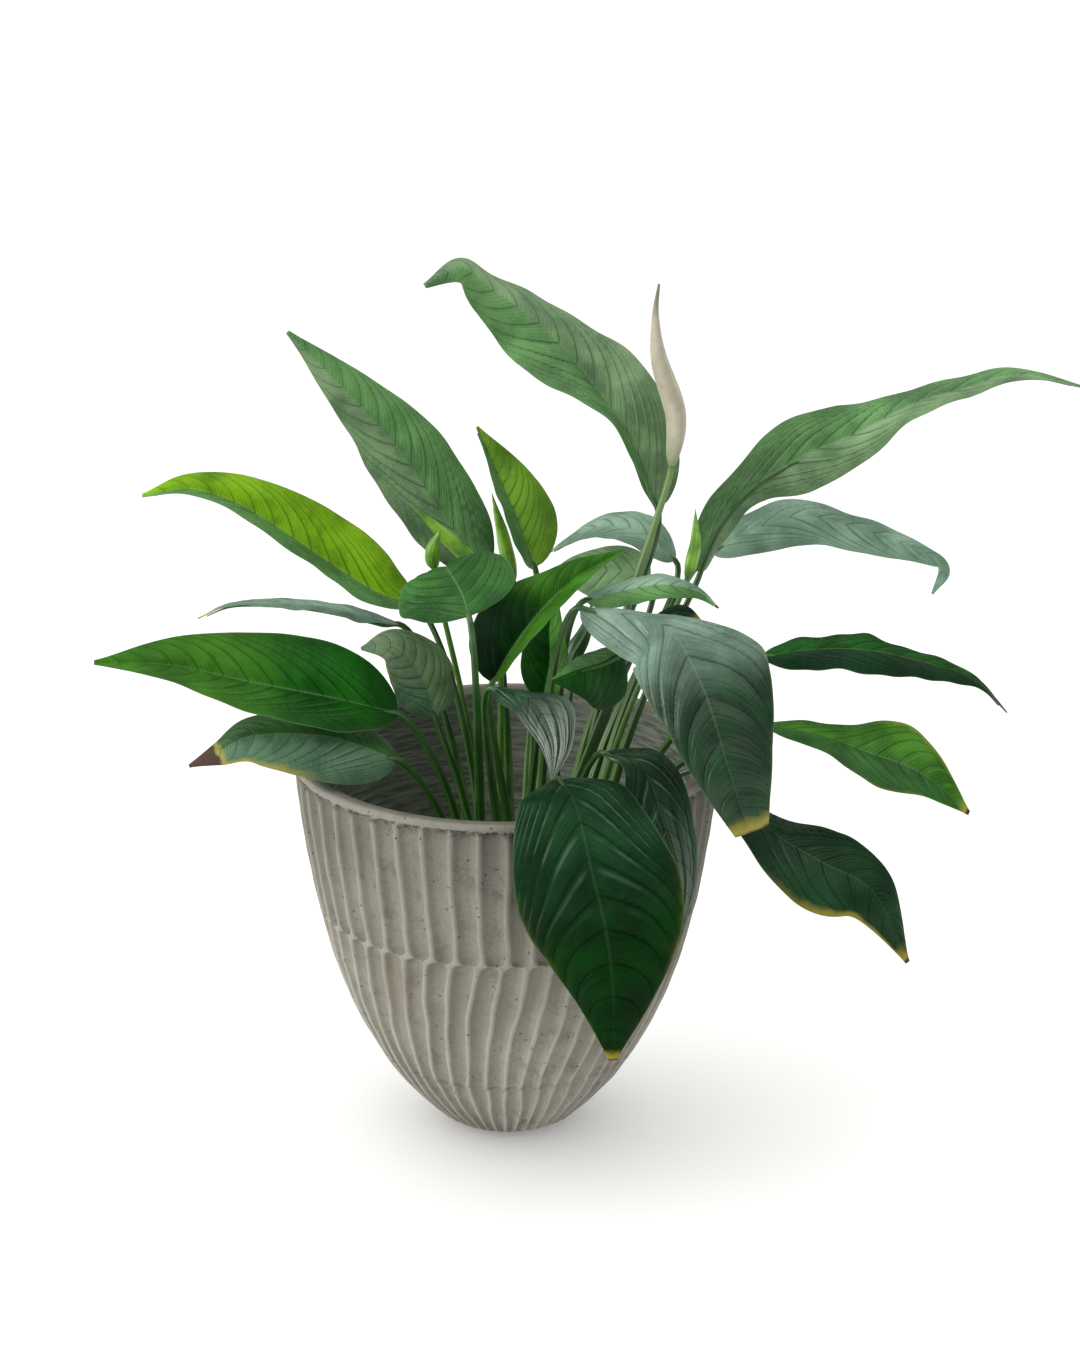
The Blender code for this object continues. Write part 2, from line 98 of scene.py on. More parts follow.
# Each leaf: its foot on the soil (x, y); its two halves as (share of the length, left reach,
# degrees it rises, right reach, degrees it rises), with left and right as seen looking out along
# the midrib, where two entries make a leaf that twists; and its midrib from neck to tip. Places
# are in millimetres from the middle of the rim, and reaches in millimetres.
LEAVES = {
    "top_back": ((40, 8), [(0.25, 38, 10, 36, 70), (0.68, 46, -50, 40, 10)], [(105, 20, 170),
        (85, 25, 220), (60, 35, 255), (25, 40, 295), (-10, 45, 320), (-30, 40, 335),
        (-55, 30, 325)]),
    "upper_left": ((2, 20), [(0.4, 33, -30, 32, 50)], [(-15, 20, 125), (-45, 30, 165),
        (-75, 35, 210), (-115, 40, 255), (-150, 45, 290)]),
    "lime_left": ((-17, 0), [(0.33, 35, -5, 33, 65)], [(-65, -5, 110), (-90, -10, 120),
        (-125, -15, 145), (-155, -25, 170), (-185, -30, 190), (-215, -35, 200), (-245, -35, 195)]),
    "thin_left": ((-26, 8), [(0.42, 31, 10, 29, -10)], [(-75, 10, 90), (-115, 10, 100),
        (-150, 10, 105), (-190, 10, 105), (-215, 10, 95)]),
    "wide_left": ((-28, -18), [(0.42, 33, -25, 39, 60)], [(-75, -50, 45), (-120, -60, 60),
        (-175, -70, 75), (-225, -80, 90), (-275, -90, 95)]),
    "low_left": ((-32, -30), [(0.5, 32, -60, 29, 20)], [(-75, -60, 15), (-120, -70, 35),
        (-170, -80, 40), (-195, -85, 30), (-215, -85, 20)]),
    "upright_left": ((14, 24), [(0.4, 28, -10, 28, 70)], [(20, 30, 125), (10, 30, 155),
        (-5, 35, 190), (-20, 35, 225)]),
    "middle_left": ((-19, -28), [(0.3, 44, -20, 38, 20)], [(-25, -85, 125), (-30, -65, 135),
        (-40, -40, 145), (-40, -25, 140), (-40, -20, 125)]),
    "folded_centre": ((4, -20), [(0.25, 39, 95, 32, 15), (0.65, 23, 65, 36, 10)], [(-10, -45, 65),
        (5, -40, 90), (25, -35, 115), (50, -25, 135), (80, -15, 150)]),
    "pale_back": ((50, 32), [(0.45, 22, -15, 25, 15)], [(120, 65, 120), (95, 70, 140),
        (65, 80, 140), (30, 85, 120)]),
    "centre_back": ((42, 20), [(0.4, 32, -35, 18, 60)], [(100, 30, 115), (85, 35, 120),
        (65, 40, 120), (45, 40, 120), (30, 40, 115)]),
    "inner_upright": ((13, -11), [(0.4, 21, 55, 17, 0)], [(25, -20, 45), (30, -15, 70),
        (30, -10, 95), (35, 0, 120)]),
    "inner_right": ((32, -20), [(0.45, 34, -80, 14, 10)], [(80, -20, 80), (65, -30, 75),
        (50, -45, 75), (30, -55, 70)]),
    "hooked_small": ((34, 0), [(0.55, 14, 15, 17, -25)], [(55, -15, 115), (90, -20, 125),
        (110, -30, 130), (130, -30, 125), (145, -35, 115)]),
    "curled_dark": ((40, -11), [(0.5, 10, 45, 13, -75)], [(95, -10, 85), (105, -20, 100),
        (120, -30, 110), (135, -40, 105)]),
    "big_front_right": ((22, -29), [(0.18, 28, -15, 34, -65), (0.52, 51, 30, 38, -40)], [
        (50, -50, 120), (85, -70, 120), (110, -90, 115), (130, -125, 85), (145, -145, 40),
        (160, -150, -5)]),
    "long_right": ((67, 12), [(0.16, 27, 100, 27, -115), (0.6, 27, -5, 24, 5)], [(135, 15, 125),
        (145, 20, 155), (170, 20, 185), (205, 30, 205), (240, 30, 220), (280, 35, 240),
        (315, 40, 250), (355, 40, 260), (405, 40, 250)]),
    "pale_right": ((61, 24), [(0.34, 30, 10, 23, -50)], [(145, 50, 130), (170, 50, 145),
        (210, 55, 155), (250, 55, 145), (295, 50, 130), (310, 45, 120), (300, 30, 105)]),
    "middle_right": ((73, 2), [(0.38, 26, 5, 30, -15)], [(180, 10, 65), (210, 10, 70),
        (250, 10, 70), (290, 15, 60), (330, 20, 45), (355, 20, 20)]),
    "green_right": ((63, -9), [(0.2, 19, 5, 24, -5), (0.65, 42, 40, 37, -25)], [(180, -35, 30),
        (215, -40, 25), (245, -45, 15), (285, -50, 0), (320, -50, -30)]),
    "low_right": ((54, -21), [(0.2, 20, 0, 23, -30), (0.6, 35, 35, 42, -55)], [(140, -70, 10),
        (180, -80, -30), (215, -90, -50), (250, -95, -70), (275, -100, -120)]),
    "big_front": ((14, -42), [(0.15, 46, 5, 46, -5), (0.7, 71, 5, 64, -35)], [(35, -115, 20),
        (45, -150, 15), (55, -180, -20), (65, -180, -65), (70, -175, -115), (70, -170, -160)]),
    "silver_front": ((-4, -35), [(0.22, 19, -15, 13, -45), (0.6, 27, 25, 16, -30)], [
        (-10, -85, 75), (10, -100, 75), (20, -110, 70), (30, -125, 50), (30, -130, 25)]),
    "dark_front": ((36, -38), [(0.15, 22, 10, 14, 10), (0.5, 24, 10, 27, -65)], [(65, -90, 30),
        (90, -120, 30), (105, -140, -5), (115, -140, -45), (115, -135, -90)]),
    "veined_left": ((-20, -9), [(0.42, 24, -55, 25, 55)], [(-50, -15, 30), (-55, -15, 50),
        (-65, -20, 70), (-80, -25, 85), (-100, -30, 85)]),
}

# Leaves still rolled up: foot, radius, finish, and the way up from where the roll starts to its
# tip.
YOUNG_LEAVES = {
    "young_left_back": ((-6, 8), 6, "lime", [(-15, 0, 130), (-35, 0, 150), (-50, 0, 165),
        (-65, -5, 180)]),
    "young_left": ((-16, 19), 6, "lime", [(-50, -5, 135), (-50, -10, 150), (-45, -15, 165)]),
    "young_middle": ((24, 34), 6, "lime", [(5, 45, 110), (0, 45, 135), (-10, 45, 175)]),
    "young_right": ((58, 2), 5, "lime", [(125, 0, 125), (130, 0, 150), (130, 0, 175)]),
    "young_centre": ((26, 9), 8, "deep", [(45, 5, 45), (45, 10, 65), (55, 10, 85), (60, 15, 105)]),
}

# Flower: foot, and the bud from its base to its drawn-out tip.
FLOWER_FOOT = (47, -2)
FLOWER_PATH = [(113, 0, 205), (116, 0, 240), (104, -2, 280), (101, -2, 310), (103, -2, 332)]


# Look of each leaf, where it differs from the plain one. left, right and under are colours in
# GREENS for the two halves and the back, and outer is the one towards the tip, if it has its own;
# some of these colours carry painted sheen, light or shade, as noted at GREENS and below.
# veins is how many side veins a half has; relief is how high the skin puffs up between them and
# wave how far the edge swings, in millimetres, with so many ripples along the leaf. edges are how
# yellow the left and right edges are; burn is the share of the length where the tip dies back and
# yellow how much of it fades before that. pale is the strength of the whitish painted sheen
# streaks between the veins, tip_streaks that of the lengthwise painted sheen streaks near the tip,
# rib that of the pale midrib, and sheen the gloss of the skin. end is the share of the outline
# that is used: below 1 it ends blunt.
PLAIN_LOOK = dict(left="green", right="green", outer=None, under="under", veins=12, relief=0.9,
                  wave=1.0, ripples=2.7, edges=(0.0, 0.0), burn=1.02, yellow=0.03, pale=0.25,
                  rib=0.4, sheen=0.14, tip_streaks=0.0, end=1.0)
LOOKS = {
    "top_back": dict(left="soft", right="grey", veins=13, relief=1.6, wave=2.2, pale=0.3,
                     sheen=0.25),
    "upper_left": dict(left="grey", right="soft", relief=1.5, wave=2.4, pale=0.3, sheen=0.25),
    # lime_left: its lime right half is painted light shining through the leaf.
    "lime_left": dict(left="soft", right="lime", veins=13, relief=0.8, wave=1.4, pale=0.05),
    "thin_left": dict(left="pale", right="pale", wave=1.6, burn=0.985, yellow=0.14),
    "wide_left": dict(left="bright", right="vivid", outer="fresh", relief=1.2, wave=1.2,
                      pale=0.15, sheen=0.12),
    "low_left": dict(left="sheen", relief=1.0, burn=0.86, edges=(0.9, 0.1), pale=0.7, sheen=0.3),
    "upright_left": dict(left="soft", right="acid", relief=0.5, pale=0.1, rib=0.6),
    "middle_left": dict(relief=1.2, veins=8, pale=0.1),
    # folded_centre: its deep left half is painted shade, and its fresh right half and part towards
    # the tip are painted light shining through the leaf.
    "folded_centre": dict(left="deep", right="fresh", outer="fresh", relief=0.5, veins=9,
                          pale=0.1),
    "pale_back": dict(left="pale", right="pale", veins=8, pale=0.4),
    "centre_back": dict(left="grey", right="grey", veins=7),
    "inner_upright": dict(left="bright", right="fresh", veins=7, pale=0.1, rib=0.7),
    "inner_right": dict(left="bright", right="soft", veins=7, pale=0.3),
    "hooked_small": dict(left="pale", right="soft", veins=8, burn=0.97),
    "curled_dark": dict(left="deep", right="deep", veins=6, burn=0.95, yellow=0.16),
    "big_front_right": dict(left="silver", right="silver", outer="dark", veins=7, relief=2.6,
                            wave=1.8, edges=(0.1, 0.1), burn=0.99, yellow=0.05, pale=1.0,
                            rib=0.25, sheen=0.3, end=0.88),
    "long_right": dict(left="soft", right="grey", veins=13, relief=1.8, wave=3.0, ripples=3.6,
                       pale=0.5, sheen=0.25),
    "pale_right": dict(left="pale", right="pale", veins=10, relief=1.2, wave=1.6, pale=0.4),
    "middle_right": dict(left="bright", right="deep", veins=10, relief=1.2, wave=2.2, ripples=3.1,
                         pale=0.1, sheen=0.05),
    "green_right": dict(left="fresh", veins=10, edges=(0.6, 0.3), burn=0.975, yellow=0.06,
                        pale=0.1),
    "low_right": dict(left="deep", right="dark", veins=10, relief=1.0, edges=(0.1, 0.7),
                      burn=0.975, yellow=0.05, rib=0.15),
    # big_front hangs in shade: its dark halves and night part towards the tip are painted shade.
    "big_front": dict(left="dark", right="dark", outer="night", veins=9, relief=1.6, wave=1.2,
                      edges=(0.16, 0.1), burn=0.985, pale=0.4, rib=0.08, sheen=0.05),
    "silver_front": dict(left="blue_dark", right="dark", outer="deep", veins=6, relief=1.2,
                         pale=1.0, rib=0.2, sheen=0.25, tip_streaks=1.0),
    "dark_front": dict(left="deep", right="deep", veins=8, relief=1.4, pale=0.6, rib=0.15,
                       tip_streaks=0.45),
    "veined_left": dict(left="sheen", right="grey", outer="grey", veins=8, relief=1.4,
                        edges=(0.6, 0.4), pale=0.9, sheen=0.25, tip_streaks=0.3),
}
# grey, pale, sheen and silver are painted sheen: the whitish reflection of bright surroundings on
# the glossy skin is put in the colour, and soft carries some of it too. lime is painted light
# shining through the leaf from behind.
GREENS = {
    "green": (0.028, 0.12, 0.02), "soft": (0.09, 0.225, 0.072), "grey": (0.15, 0.265, 0.13),
    "fresh": (0.045, 0.175, 0.012), "acid": (0.17, 0.37, 0.03), "vivid": (0.006, 0.1, 0.003),
    "bright": (0.007, 0.08, 0.005), "lime": (0.19, 0.41, 0.01), "dark": (0.008, 0.042, 0.014),
    "blue_dark": (0.016, 0.05, 0.03), "deep": (0.004, 0.034, 0.009),
    "night": (0.0005, 0.026, 0.0008), "pale": (0.19, 0.32, 0.24), "sheen": (0.1, 0.21, 0.12),
    "silver": (0.15, 0.245, 0.195), "under": (0.12, 0.22, 0.12), "rib": (0.17, 0.28, 0.125),
    "yellow": (0.4, 0.33, 0.04), "dead": (0.06, 0.032, 0.02), "stalk": (0.03, 0.12, 0.014),
    "stalk_edge": (0.17, 0.29, 0.08), "young": (0.21, 0.44, 0.025),
}
# How finely the leaves are divided, and the stage.
BLADE_ROWS = 120
BLADE_COLUMNS = 36
STALK_SIDES = 20
ROLL_SIDES = 28
FLOOR_HALF_WIDTH = 60.0
SKY_FILL = 0.34
CAMERA_PLACE = (0.0, -2.0712, 1.0216)
CAMERA_TILT_DEGREES = 71.674
CAMERA_TURN_DEGREES = -0.643
CAMERA_LENS = 83.3


# ---- shapes

def unit(vectors):
    return vectors / np.linalg.norm(vectors, axis=-1, keepdims=True)


def smooth_step(low, high, value):
    """0 below low, 1 above high, and 3t^2 - 2t^3 between them."""
    t = np.clip((value - low) / (high - low), 0.0, 1.0)
    return t * t * (3.0 - 2.0 * t)


def from_plan(points):
    """Plan millimetres from the rim centre to metres from the foot of the pot."""
    return np.array(points, dtype=float) * MM + np.array([0.0, 0.0, POT_HEIGHT])


def turns(count):
    """Angles all the way round, evenly spaced, as one row."""
    return (2 * np.pi * np.arange(count) / count)[None, :]


def round_points(reach, angle, height):
    """Points at this reach, angle and height round the Z axis, in rows of rings."""
    x, y = reach * np.cos(angle), reach * np.sin(angle)
    return np.stack(np.broadcast_arrays(x, y, height), axis=-1)


def numbered(rows, columns):
    """Corner numbers of rows of rings, and of the next corner round each ring."""
    numbers = np.arange(rows * columns).reshape(rows, columns)
    return numbers, np.roll(numbers, -1, axis=1)


def evenly(fine, count):
    """The same line at count + 1 places evenly spaced along its length."""
    lengths = np.linalg.norm(np.diff(fine, axis=0), axis=1)
    travelled = np.concatenate([[0], np.cumsum(lengths)])
    wanted = np.linspace(0, travelled[-1], count + 1)
    return np.stack([np.interp(wanted, travelled, fine[:, k]) for k in range(3)], axis=1)


def curve_through(points, count):
    """Catmull-Rom: between b and c the point is
    (2b + (c - a)t + (2a - 5b + 4c - d)t^2 + (3b - a - 3c + d)t^3) / 2."""
    ends = np.vstack([2 * points[0] - points[1], points, 2 * points[-1] - points[-2]])
    a, b, c, d = (ends[k:len(ends) - 3 + k, None] for k in range(4))
    t = np.linspace(0, 1, 40, endpoint=False)[None, :, None]
    spans = 2 * b + (c - a) * t + (2 * a - 5 * b + 4 * c - d) * t ** 2
    spans = (spans + (3 * b - a - 3 * c + d) * t ** 3) / 2
    return evenly(np.vstack([spans.reshape(-1, 3), points[-1:]]), count)


def travelling_frames(line, start_right=None):
    """Unit vectors right of the line and above it, carried along without spinning: each right is
    the one before, less its share along the line."""
    forward = unit(np.gradient(line, axis=0))
    right = np.cross(forward[0], (0.0, 0.0, 1.0)) if start_right is None else start_right
    rights = []
    for ahead in forward:
        right = unit(right - (right @ ahead) * ahead)
        rights.append(right)
    rights = np.array(rights)
    return rights, np.cross(rights, forward)


def leaf_outline(share):
    """Share of full width: share^0.58 (1 - share)^1.2 over its highest value, ends kept open."""
    peak = OUTLINE_RISE / (OUTLINE_RISE + OUTLINE_FALL)
    highest = peak ** OUTLINE_RISE * (1 - peak) ** OUTLINE_FALL
    swell = share ** OUTLINE_RISE * (1 - share) ** OUTLINE_FALL / highest
    return OUTLINE_ENDS + (1 - OUTLINE_ENDS) * swell


def half_vectors(line, halves):
    """Vectors from midrib to left and right edges: reach cos(rise) sideways, reach sin(rise) up."""
    right, up = travelling_frames(line)
    first, final = np.array(halves[0]), np.array(halves[-1])
    share = np.linspace(0, 1, len(line))
    blend = smooth_step(first[0], max(final[0], first[0] + 0.01), share)[:, None]
    mixed = (1 - blend) * first + blend * final
    reach = mixed[:, [1, 3]] * MM
    rise = np.radians(mixed[:, [2, 4]])
    level = reach * np.cos(rise)
    height = reach * np.sin(rise)
    left = -level[:, :1] * right + height[:, :1] * up
    return left, level[:, 1:] * right + height[:, 1:] * up, up


def grid_normals(grid):
    """Cross product of the steps across and along the grid, made unit length. Each row's mean
    step along is added, so that the inside of a tight bend can't turn a normal over."""
    across = np.gradient(grid, axis=1)
    along = np.gradient(grid, axis=0)
    return unit(np.cross(across, along + along.mean(axis=1, keepdims=True)))


def add_object(name, data):
    thing = bpy.data.objects.new(name, data)
    bpy.context.scene.collection.objects.link(thing)
    return thing


def add_mesh(name, points, faces, marks, material):
    """A smooth mesh object at the origin, with one number per point for each mark."""
    mesh = bpy.data.meshes.new(name)
    mesh.from_pydata(points.reshape(-1, 3).tolist(), [], faces)
    mesh.polygons.foreach_set("use_smooth", [True] * len(mesh.polygons))
    for label, values in marks.items():
        layer = mesh.attributes.new(label, "FLOAT", "POINT")
        spread = np.broadcast_to(values, points.shape[:-1])
        layer.data.foreach_set("value", spread.astype(np.float32).ravel())
    mesh.materials.append(material)
    piece = add_object(name, mesh)
    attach(piece, "root")
    return piece


def quads(a, b, c, d):
    return np.stack([a.ravel(), b.ravel(), c.ravel(), d.ravel()], axis=1)


def closed_sheet(middle, thickness):
    """Upper and lower copies of the grid, half the thickness away along its normals, and a rim
    of faces that joins them all the way round."""
    rows, columns = middle.shape[:2]
    push = grid_normals(middle) * np.asarray(thickness / 2)[..., None]
    t = np.arange(rows * columns).reshape(rows, columns)
    b = t + rows * columns
    faces = np.concatenate([
        quads(t[:-1, :-1], t[:-1, 1:], t[1:, 1:], t[1:, :-1]),
        quads(b[:-1, :-1], b[1:, :-1], b[1:, 1:], b[:-1, 1:]),
        quads(t[:-1, 0], t[1:, 0], b[1:, 0], b[:-1, 0]),
        quads(t[:-1, -1], b[:-1, -1], b[1:, -1], t[1:, -1]),
        quads(t[0, :-1], b[0, :-1], b[0, 1:], t[0, 1:]),
        quads(t[-1, :-1], t[-1, 1:], b[-1, 1:], b[-1, :-1]),
    ])
    return np.stack([middle + push, middle - push]), faces.tolist()


def tube(line, right, up, reach):
    """Rings round the line, line + reach (cos a right + sin a up), closed by a face at each end."""
    angle = turns(reach.shape[1])[..., None]
    ring = np.cos(angle) * right[:, None] + np.sin(angle) * up[:, None]
    n, m = numbered(*reach.shape)
    faces = quads(n[:-1], n[1:], m[1:], m[:-1]).tolist()
    faces.append(n[0].tolist())
    faces.append(n[-1, ::-1].tolist())
    return line[:, None] + reach[..., None] * ring, faces


# ---- material tools

def add_node(tree, kind, values=None, **settings):
    """One shader node; values are its inputs by name or number, each a constant or a socket."""
    node = tree.nodes.new(kind)
    for setting, value in settings.items():
        setattr(node, setting, value)
    for key, value in (values or {}).items():
        if isinstance(value, bpy.types.NodeSocket):
            tree.links.new(value, node.inputs[key])
        else:
            node.inputs[key].default_value = value
    return node


def tree_of(*values):
    """The node tree of the first socket among the values."""
    return next(value.id_data for value in values if isinstance(value, bpy.types.NodeSocket))


def math_node(operation, first, second=0.0, clamp=False):
    return add_node(tree_of(first, second), "ShaderNodeMath", {0: first, 1: second},
                    operation=operation, use_clamp=clamp).outputs[0]


def plus(first, second, clamp=False):
    return math_node("ADD", first, second, clamp)


def minus(first, second):
    return math_node("SUBTRACT", first, second)


def times(first, second):
    return math_node("MULTIPLY", first, second)


def ramp(value, low, high, start=0.0, end=1.0):
    """start below low, end above high, smooth between."""
    return add_node(tree_of(value), "ShaderNodeMapRange",
                    {0: value, 1: low, 2: high, 3: start, 4: end},
                    interpolation_type="SMOOTHSTEP").outputs[0]


def mix(share, first, second, blend="MIX"):
    """The second colour over the first by the share; each is a socket or red, green and blue."""
    colours = [value if isinstance(value, bpy.types.NodeSocket) else opaque(value)
               for value in (first, second)]
    return add_node(tree_of(share, first, second), "ShaderNodeMix",
                    {0: share, 6: colours[0], 7: colours[1]},
                    data_type="RGBA", blend_type=blend).outputs[2]


def layered(colour, *layers):
    """The colour under its layers, each a mask, a strength and a colour."""
    for mask, strength, over in layers:
        colour = mix(times(mask, strength), colour, over)
    return colour


def squashed(tree, factor):
    """Object coordinates with the height multiplied by the factor."""
    return add_node(tree, "ShaderNodeMapping",
                    {"Vector": place(tree), "Scale": (1.0, 1.0, factor)}).outputs[0]


def tinted(colour, factor):
    """The colour times the factor, channel by channel."""
    return mix(1.0, colour, factor, "MULTIPLY")


def mark(tree, name):
    return add_node(tree, "ShaderNodeAttribute", attribute_name=name).outputs["Fac"]


def place(tree):
    return add_node(tree, "ShaderNodeTexCoord").outputs["Object"]


def noise(tree, scale, detail=3.0, roughness=0.55, vector=None):
    values = {"Vector": vector or place(tree), "Scale": scale, "Detail": detail,
              "Roughness": roughness}
    return add_node(tree, "ShaderNodeTexNoise", values).outputs[0]


def opaque(colour):
    return (*colour, 1.0)


def new_group(name, inputs, outputs):
    """A shader node group: inputs are (name, kind, value), outputs are (name, kind)."""
    group = bpy.data.node_groups.new(name, "ShaderNodeTree")
    for label, kind, value in inputs:
        socket = group.interface.new_socket(label, in_out="INPUT", socket_type=kind)
        socket.default_value = value
    for label, kind in outputs:
        group.interface.new_socket(label, in_out="OUTPUT", socket_type=kind)
    entry = group.nodes.new("NodeGroupInput")
    result = group.nodes.new("NodeGroupOutput")
    return group, entry.outputs, result.inputs


def new_material(name, **constants):
    """A material and its node tree; the constants are set on the Principled shader's sockets."""
    material = bpy.data.materials.new(name)
    material.use_nodes = True
    shader = material.node_tree.nodes["Principled BSDF"]
    for label, value in constants.items():
        shader.inputs[label.replace("_", " ")].default_value = value
    return material, material.node_tree


def dress(material, colour, roughness, height, strength, distance):
    """Gives the shader its colour and roughness, and bumps of this strength and distance."""
    tree = material.node_tree
    shader = tree.nodes["Principled BSDF"]
    bump = add_node(tree, "ShaderNodeBump", {"Strength": strength, "Distance": distance,
                                             "Height": height})
    tree.links.new(colour, shader.inputs["Base Color"])
    tree.links.new(roughness, shader.inputs["Roughness"])
    tree.links.new(bump.outputs[0], shader.inputs["Normal"])
    return material


# ---- leaf finish

def leaf_pattern_group():
    """Colour, roughness and height of a blade from its share, across, phase and under marks.

    A side vein runs where phase is a whole number. Painted over each other in this order: the
    halves, painted shade in the hollows round the veins, painted highlights on the crests beside
    them and whitish painted sheen streaks, painted shade along the veins, the painted sheen streaks
    near the tip, the underside, the midrib, the yellow edges and a painted highlight on the thin
    edges, and the dead tip.
    """
    colour, number = "NodeSocketColor", "NodeSocketFloat"
    inputs = [(label, colour, opaque(GREENS["green"])) for label in ("Left", "Right", "Outer")]
    inputs.append(("Under", colour, opaque(GREENS["under"])))
    inputs += [(label, number, value) for label, value in (
        ("Outer Share", 0.0), ("Pale", 0.3), ("Left Edge", 0.0), ("Right Edge", 0.0),
        ("Burn", 1.02), ("Yellow", 0.03), ("Rib", 0.4), ("Tip Streaks", 0.0))]
    outputs = [("Color", colour), ("Roughness", number), ("Height", number)]
    group, entry, result = new_group("leaf_pattern", inputs, outputs)
    share, across, under = mark(group, "share"), mark(group, "across"), mark(group, "under")
    phase = mark(group, "phase")
    far = math_node("ABSOLUTE", across)
    right_side = ramp(across, -0.03, 0.03)
    body = mix(right_side, entry["Left"], entry["Right"])
    outer = times(ramp(share, 0.3, 0.62), entry["Outer Share"])
    body = mix(outer, body, entry["Outer"])
    cloud = noise(group, 34.0, 5.0)
    darker = tinted(body, (0.55, 0.62, 0.55))
    lighter = tinted(body, (1.35, 1.28, 1.2))
    body = mix(ramp(cloud, 0.32, 0.68), darker, lighter)

    turn = math_node("FRACT", phase)
    from_middle = math_node("ABSOLUTE", minus(turn, 0.5))
    vein = ramp(from_middle, 0.44, 0.5)
    hollow = ramp(from_middle, 0.28, 0.48)
    # Painted shade: the hollows round each side vein are darkened, in patches that fade towards the
    # tip.
    patchy = ramp(noise(group, 26.0, 3.0), 0.35, 0.65, 0.25, 0.75)
    patchy = times(patchy, ramp(share, 0.85, 0.5, 0.4, 1.0))
    body = mix(times(hollow, patchy), body, darker)
    vein = times(vein, ramp(far, 0.95, 0.7))
    # Painted highlight on the crests beside each vein, and over it whitish painted sheen streaks of
    # strength Pale, fading towards the tip.
    streak_side = ramp(math_node("ABSOLUTE", minus(turn, 0.24)), 0.15, 0.0)
    patch = ramp(noise(group, 30.0, 2.0), 0.42, 0.62)
    crest = times(times(streak_side, patch), ramp(far, 0.02, 0.2))
    streak = times(times(crest, entry["Pale"]), ramp(share, 0.65, 0.15))
    body = layered(body, (crest, 0.6, lighter), (streak, 0.45, (0.34, 0.42, 0.37)))
    darkest = tinted(body, (0.4, 0.48, 0.42))
    # Painted shade along the sunken veins, fainter towards the tip.
    fainter = ramp(share, 0.85, 0.5, 0.14, 0.5)
    body = mix(times(vein, fainter), body, darkest)

    fine_turn = math_node("FRACT", times(phase, 5.0))
    fine = ramp(math_node("ABSOLUTE", minus(fine_turn, 0.5)), 0.3, 0.5)
    body = mix(times(fine, 0.2), body, darkest)

    # Painted sheen: whitish lengthwise streaks towards the tip, of strength Tip Streaks.
    outward = times(ramp(share, 0.3, 0.85), entry["Tip Streaks"])
    lengthwise = add_node(group, "ShaderNodeCombineXYZ",
                          {0: times(across, 9.0), 1: share}).outputs[0]
    stripe = times(ramp(noise(group, 1.0, 3.0, vector=lengthwise), 0.42, 0.62), outward)
    body = layered(body, (stripe, 0.8, (0.40, 0.46, 0.40)))

    lower = layered(entry["Under"], (vein, 0.5, GREENS["soft"]), (fine, 0.15, GREENS["soft"]))
    body = mix(under, body, lower)

    rib_reach = plus(0.010, times(share, 0.014))
    rib = times(ramp(minus(far, rib_reach), 0.012, -0.010), ramp(share, 0.95, 0.3, 0.35, 1.0))
    body = layered(body, (rib, entry["Rib"], GREENS["rib"]))

    ragged = minus(noise(group, 60.0, 3.0), 0.5)
    edge_mix = add_node(group, "ShaderNodeMix",
                        {0: right_side, 2: entry["Left Edge"], 3: entry["Right Edge"]}).outputs[0]
    edge_start = minus(1.02, times(edge_mix, 0.16))
    far_ragged = plus(far, times(ragged, 0.35))
    past = minus(far_ragged, edge_start)
    yellow_edge = times(ramp(past, -0.1, 0.08), ramp(share, 0.3, 0.6))
    # The yellow edges are the leaf's own colour; the pale line along the very edge is a painted
    # highlight.
    body = layered(body, (times(yellow_edge, edge_mix), 0.85, GREENS["yellow"]),
                   (ramp(far, 0.965, 1.0), 0.3, (0.17, 0.27, 0.12)))

    reach = plus(share, times(ragged, 0.05))
    past_burn = minus(reach, entry["Burn"])
    fading = ramp(past_burn, times(entry["Yellow"], -1.0), 0.0)
    body = mix(times(fading, 0.7), body, GREENS["yellow"])
    dead = ramp(past_burn, -0.002, 0.012)
    body = mix(dead, body, GREENS["dead"])

    gloss = ramp(noise(group, 45.0, 3.0), 0.3, 0.7, 0.27, 0.40)
    rough = plus(plus(gloss, times(under, 0.16)), times(dead, 0.3), clamp=True)
    skin = times(noise(group, 380.0, 2.0), 0.35)
    height = minus(minus(skin, times(fine, 0.4)), vein)
    for socket, (label, _) in zip((body, rough, height), outputs):
        group.links.new(socket, result[label])
    return group


LEAF_PATTERN = leaf_pattern_group()


def leaf_material(name, look):
    """The leaf pattern with this leaf's own colours, edges and tip."""
    material, tree = new_material(name, Specular_IOR_Level=look["sheen"])
    pattern = add_node(tree, "ShaderNodeGroup", node_tree=LEAF_PATTERN)
    settings = {"Left Edge": look["edges"][0], "Right Edge": look["edges"][1]}
    for label in ("Pale", "Burn", "Yellow", "Rib", "Tip Streaks"):
        settings[label] = look[label.lower().replace(" ", "_")]
    for label in ("Left", "Right", "Under", "Outer"):
        if look[label.lower()]:
            settings[label] = opaque(GREENS[look[label.lower()]])
    if look["outer"]:
        settings["Outer Share"] = 1.0
    for label, value in settings.items():
        pattern.inputs[label].default_value = value
    colour, roughness, height = pattern.outputs
    return dress(material, colour, roughness, height, 0.6, 0.0009)


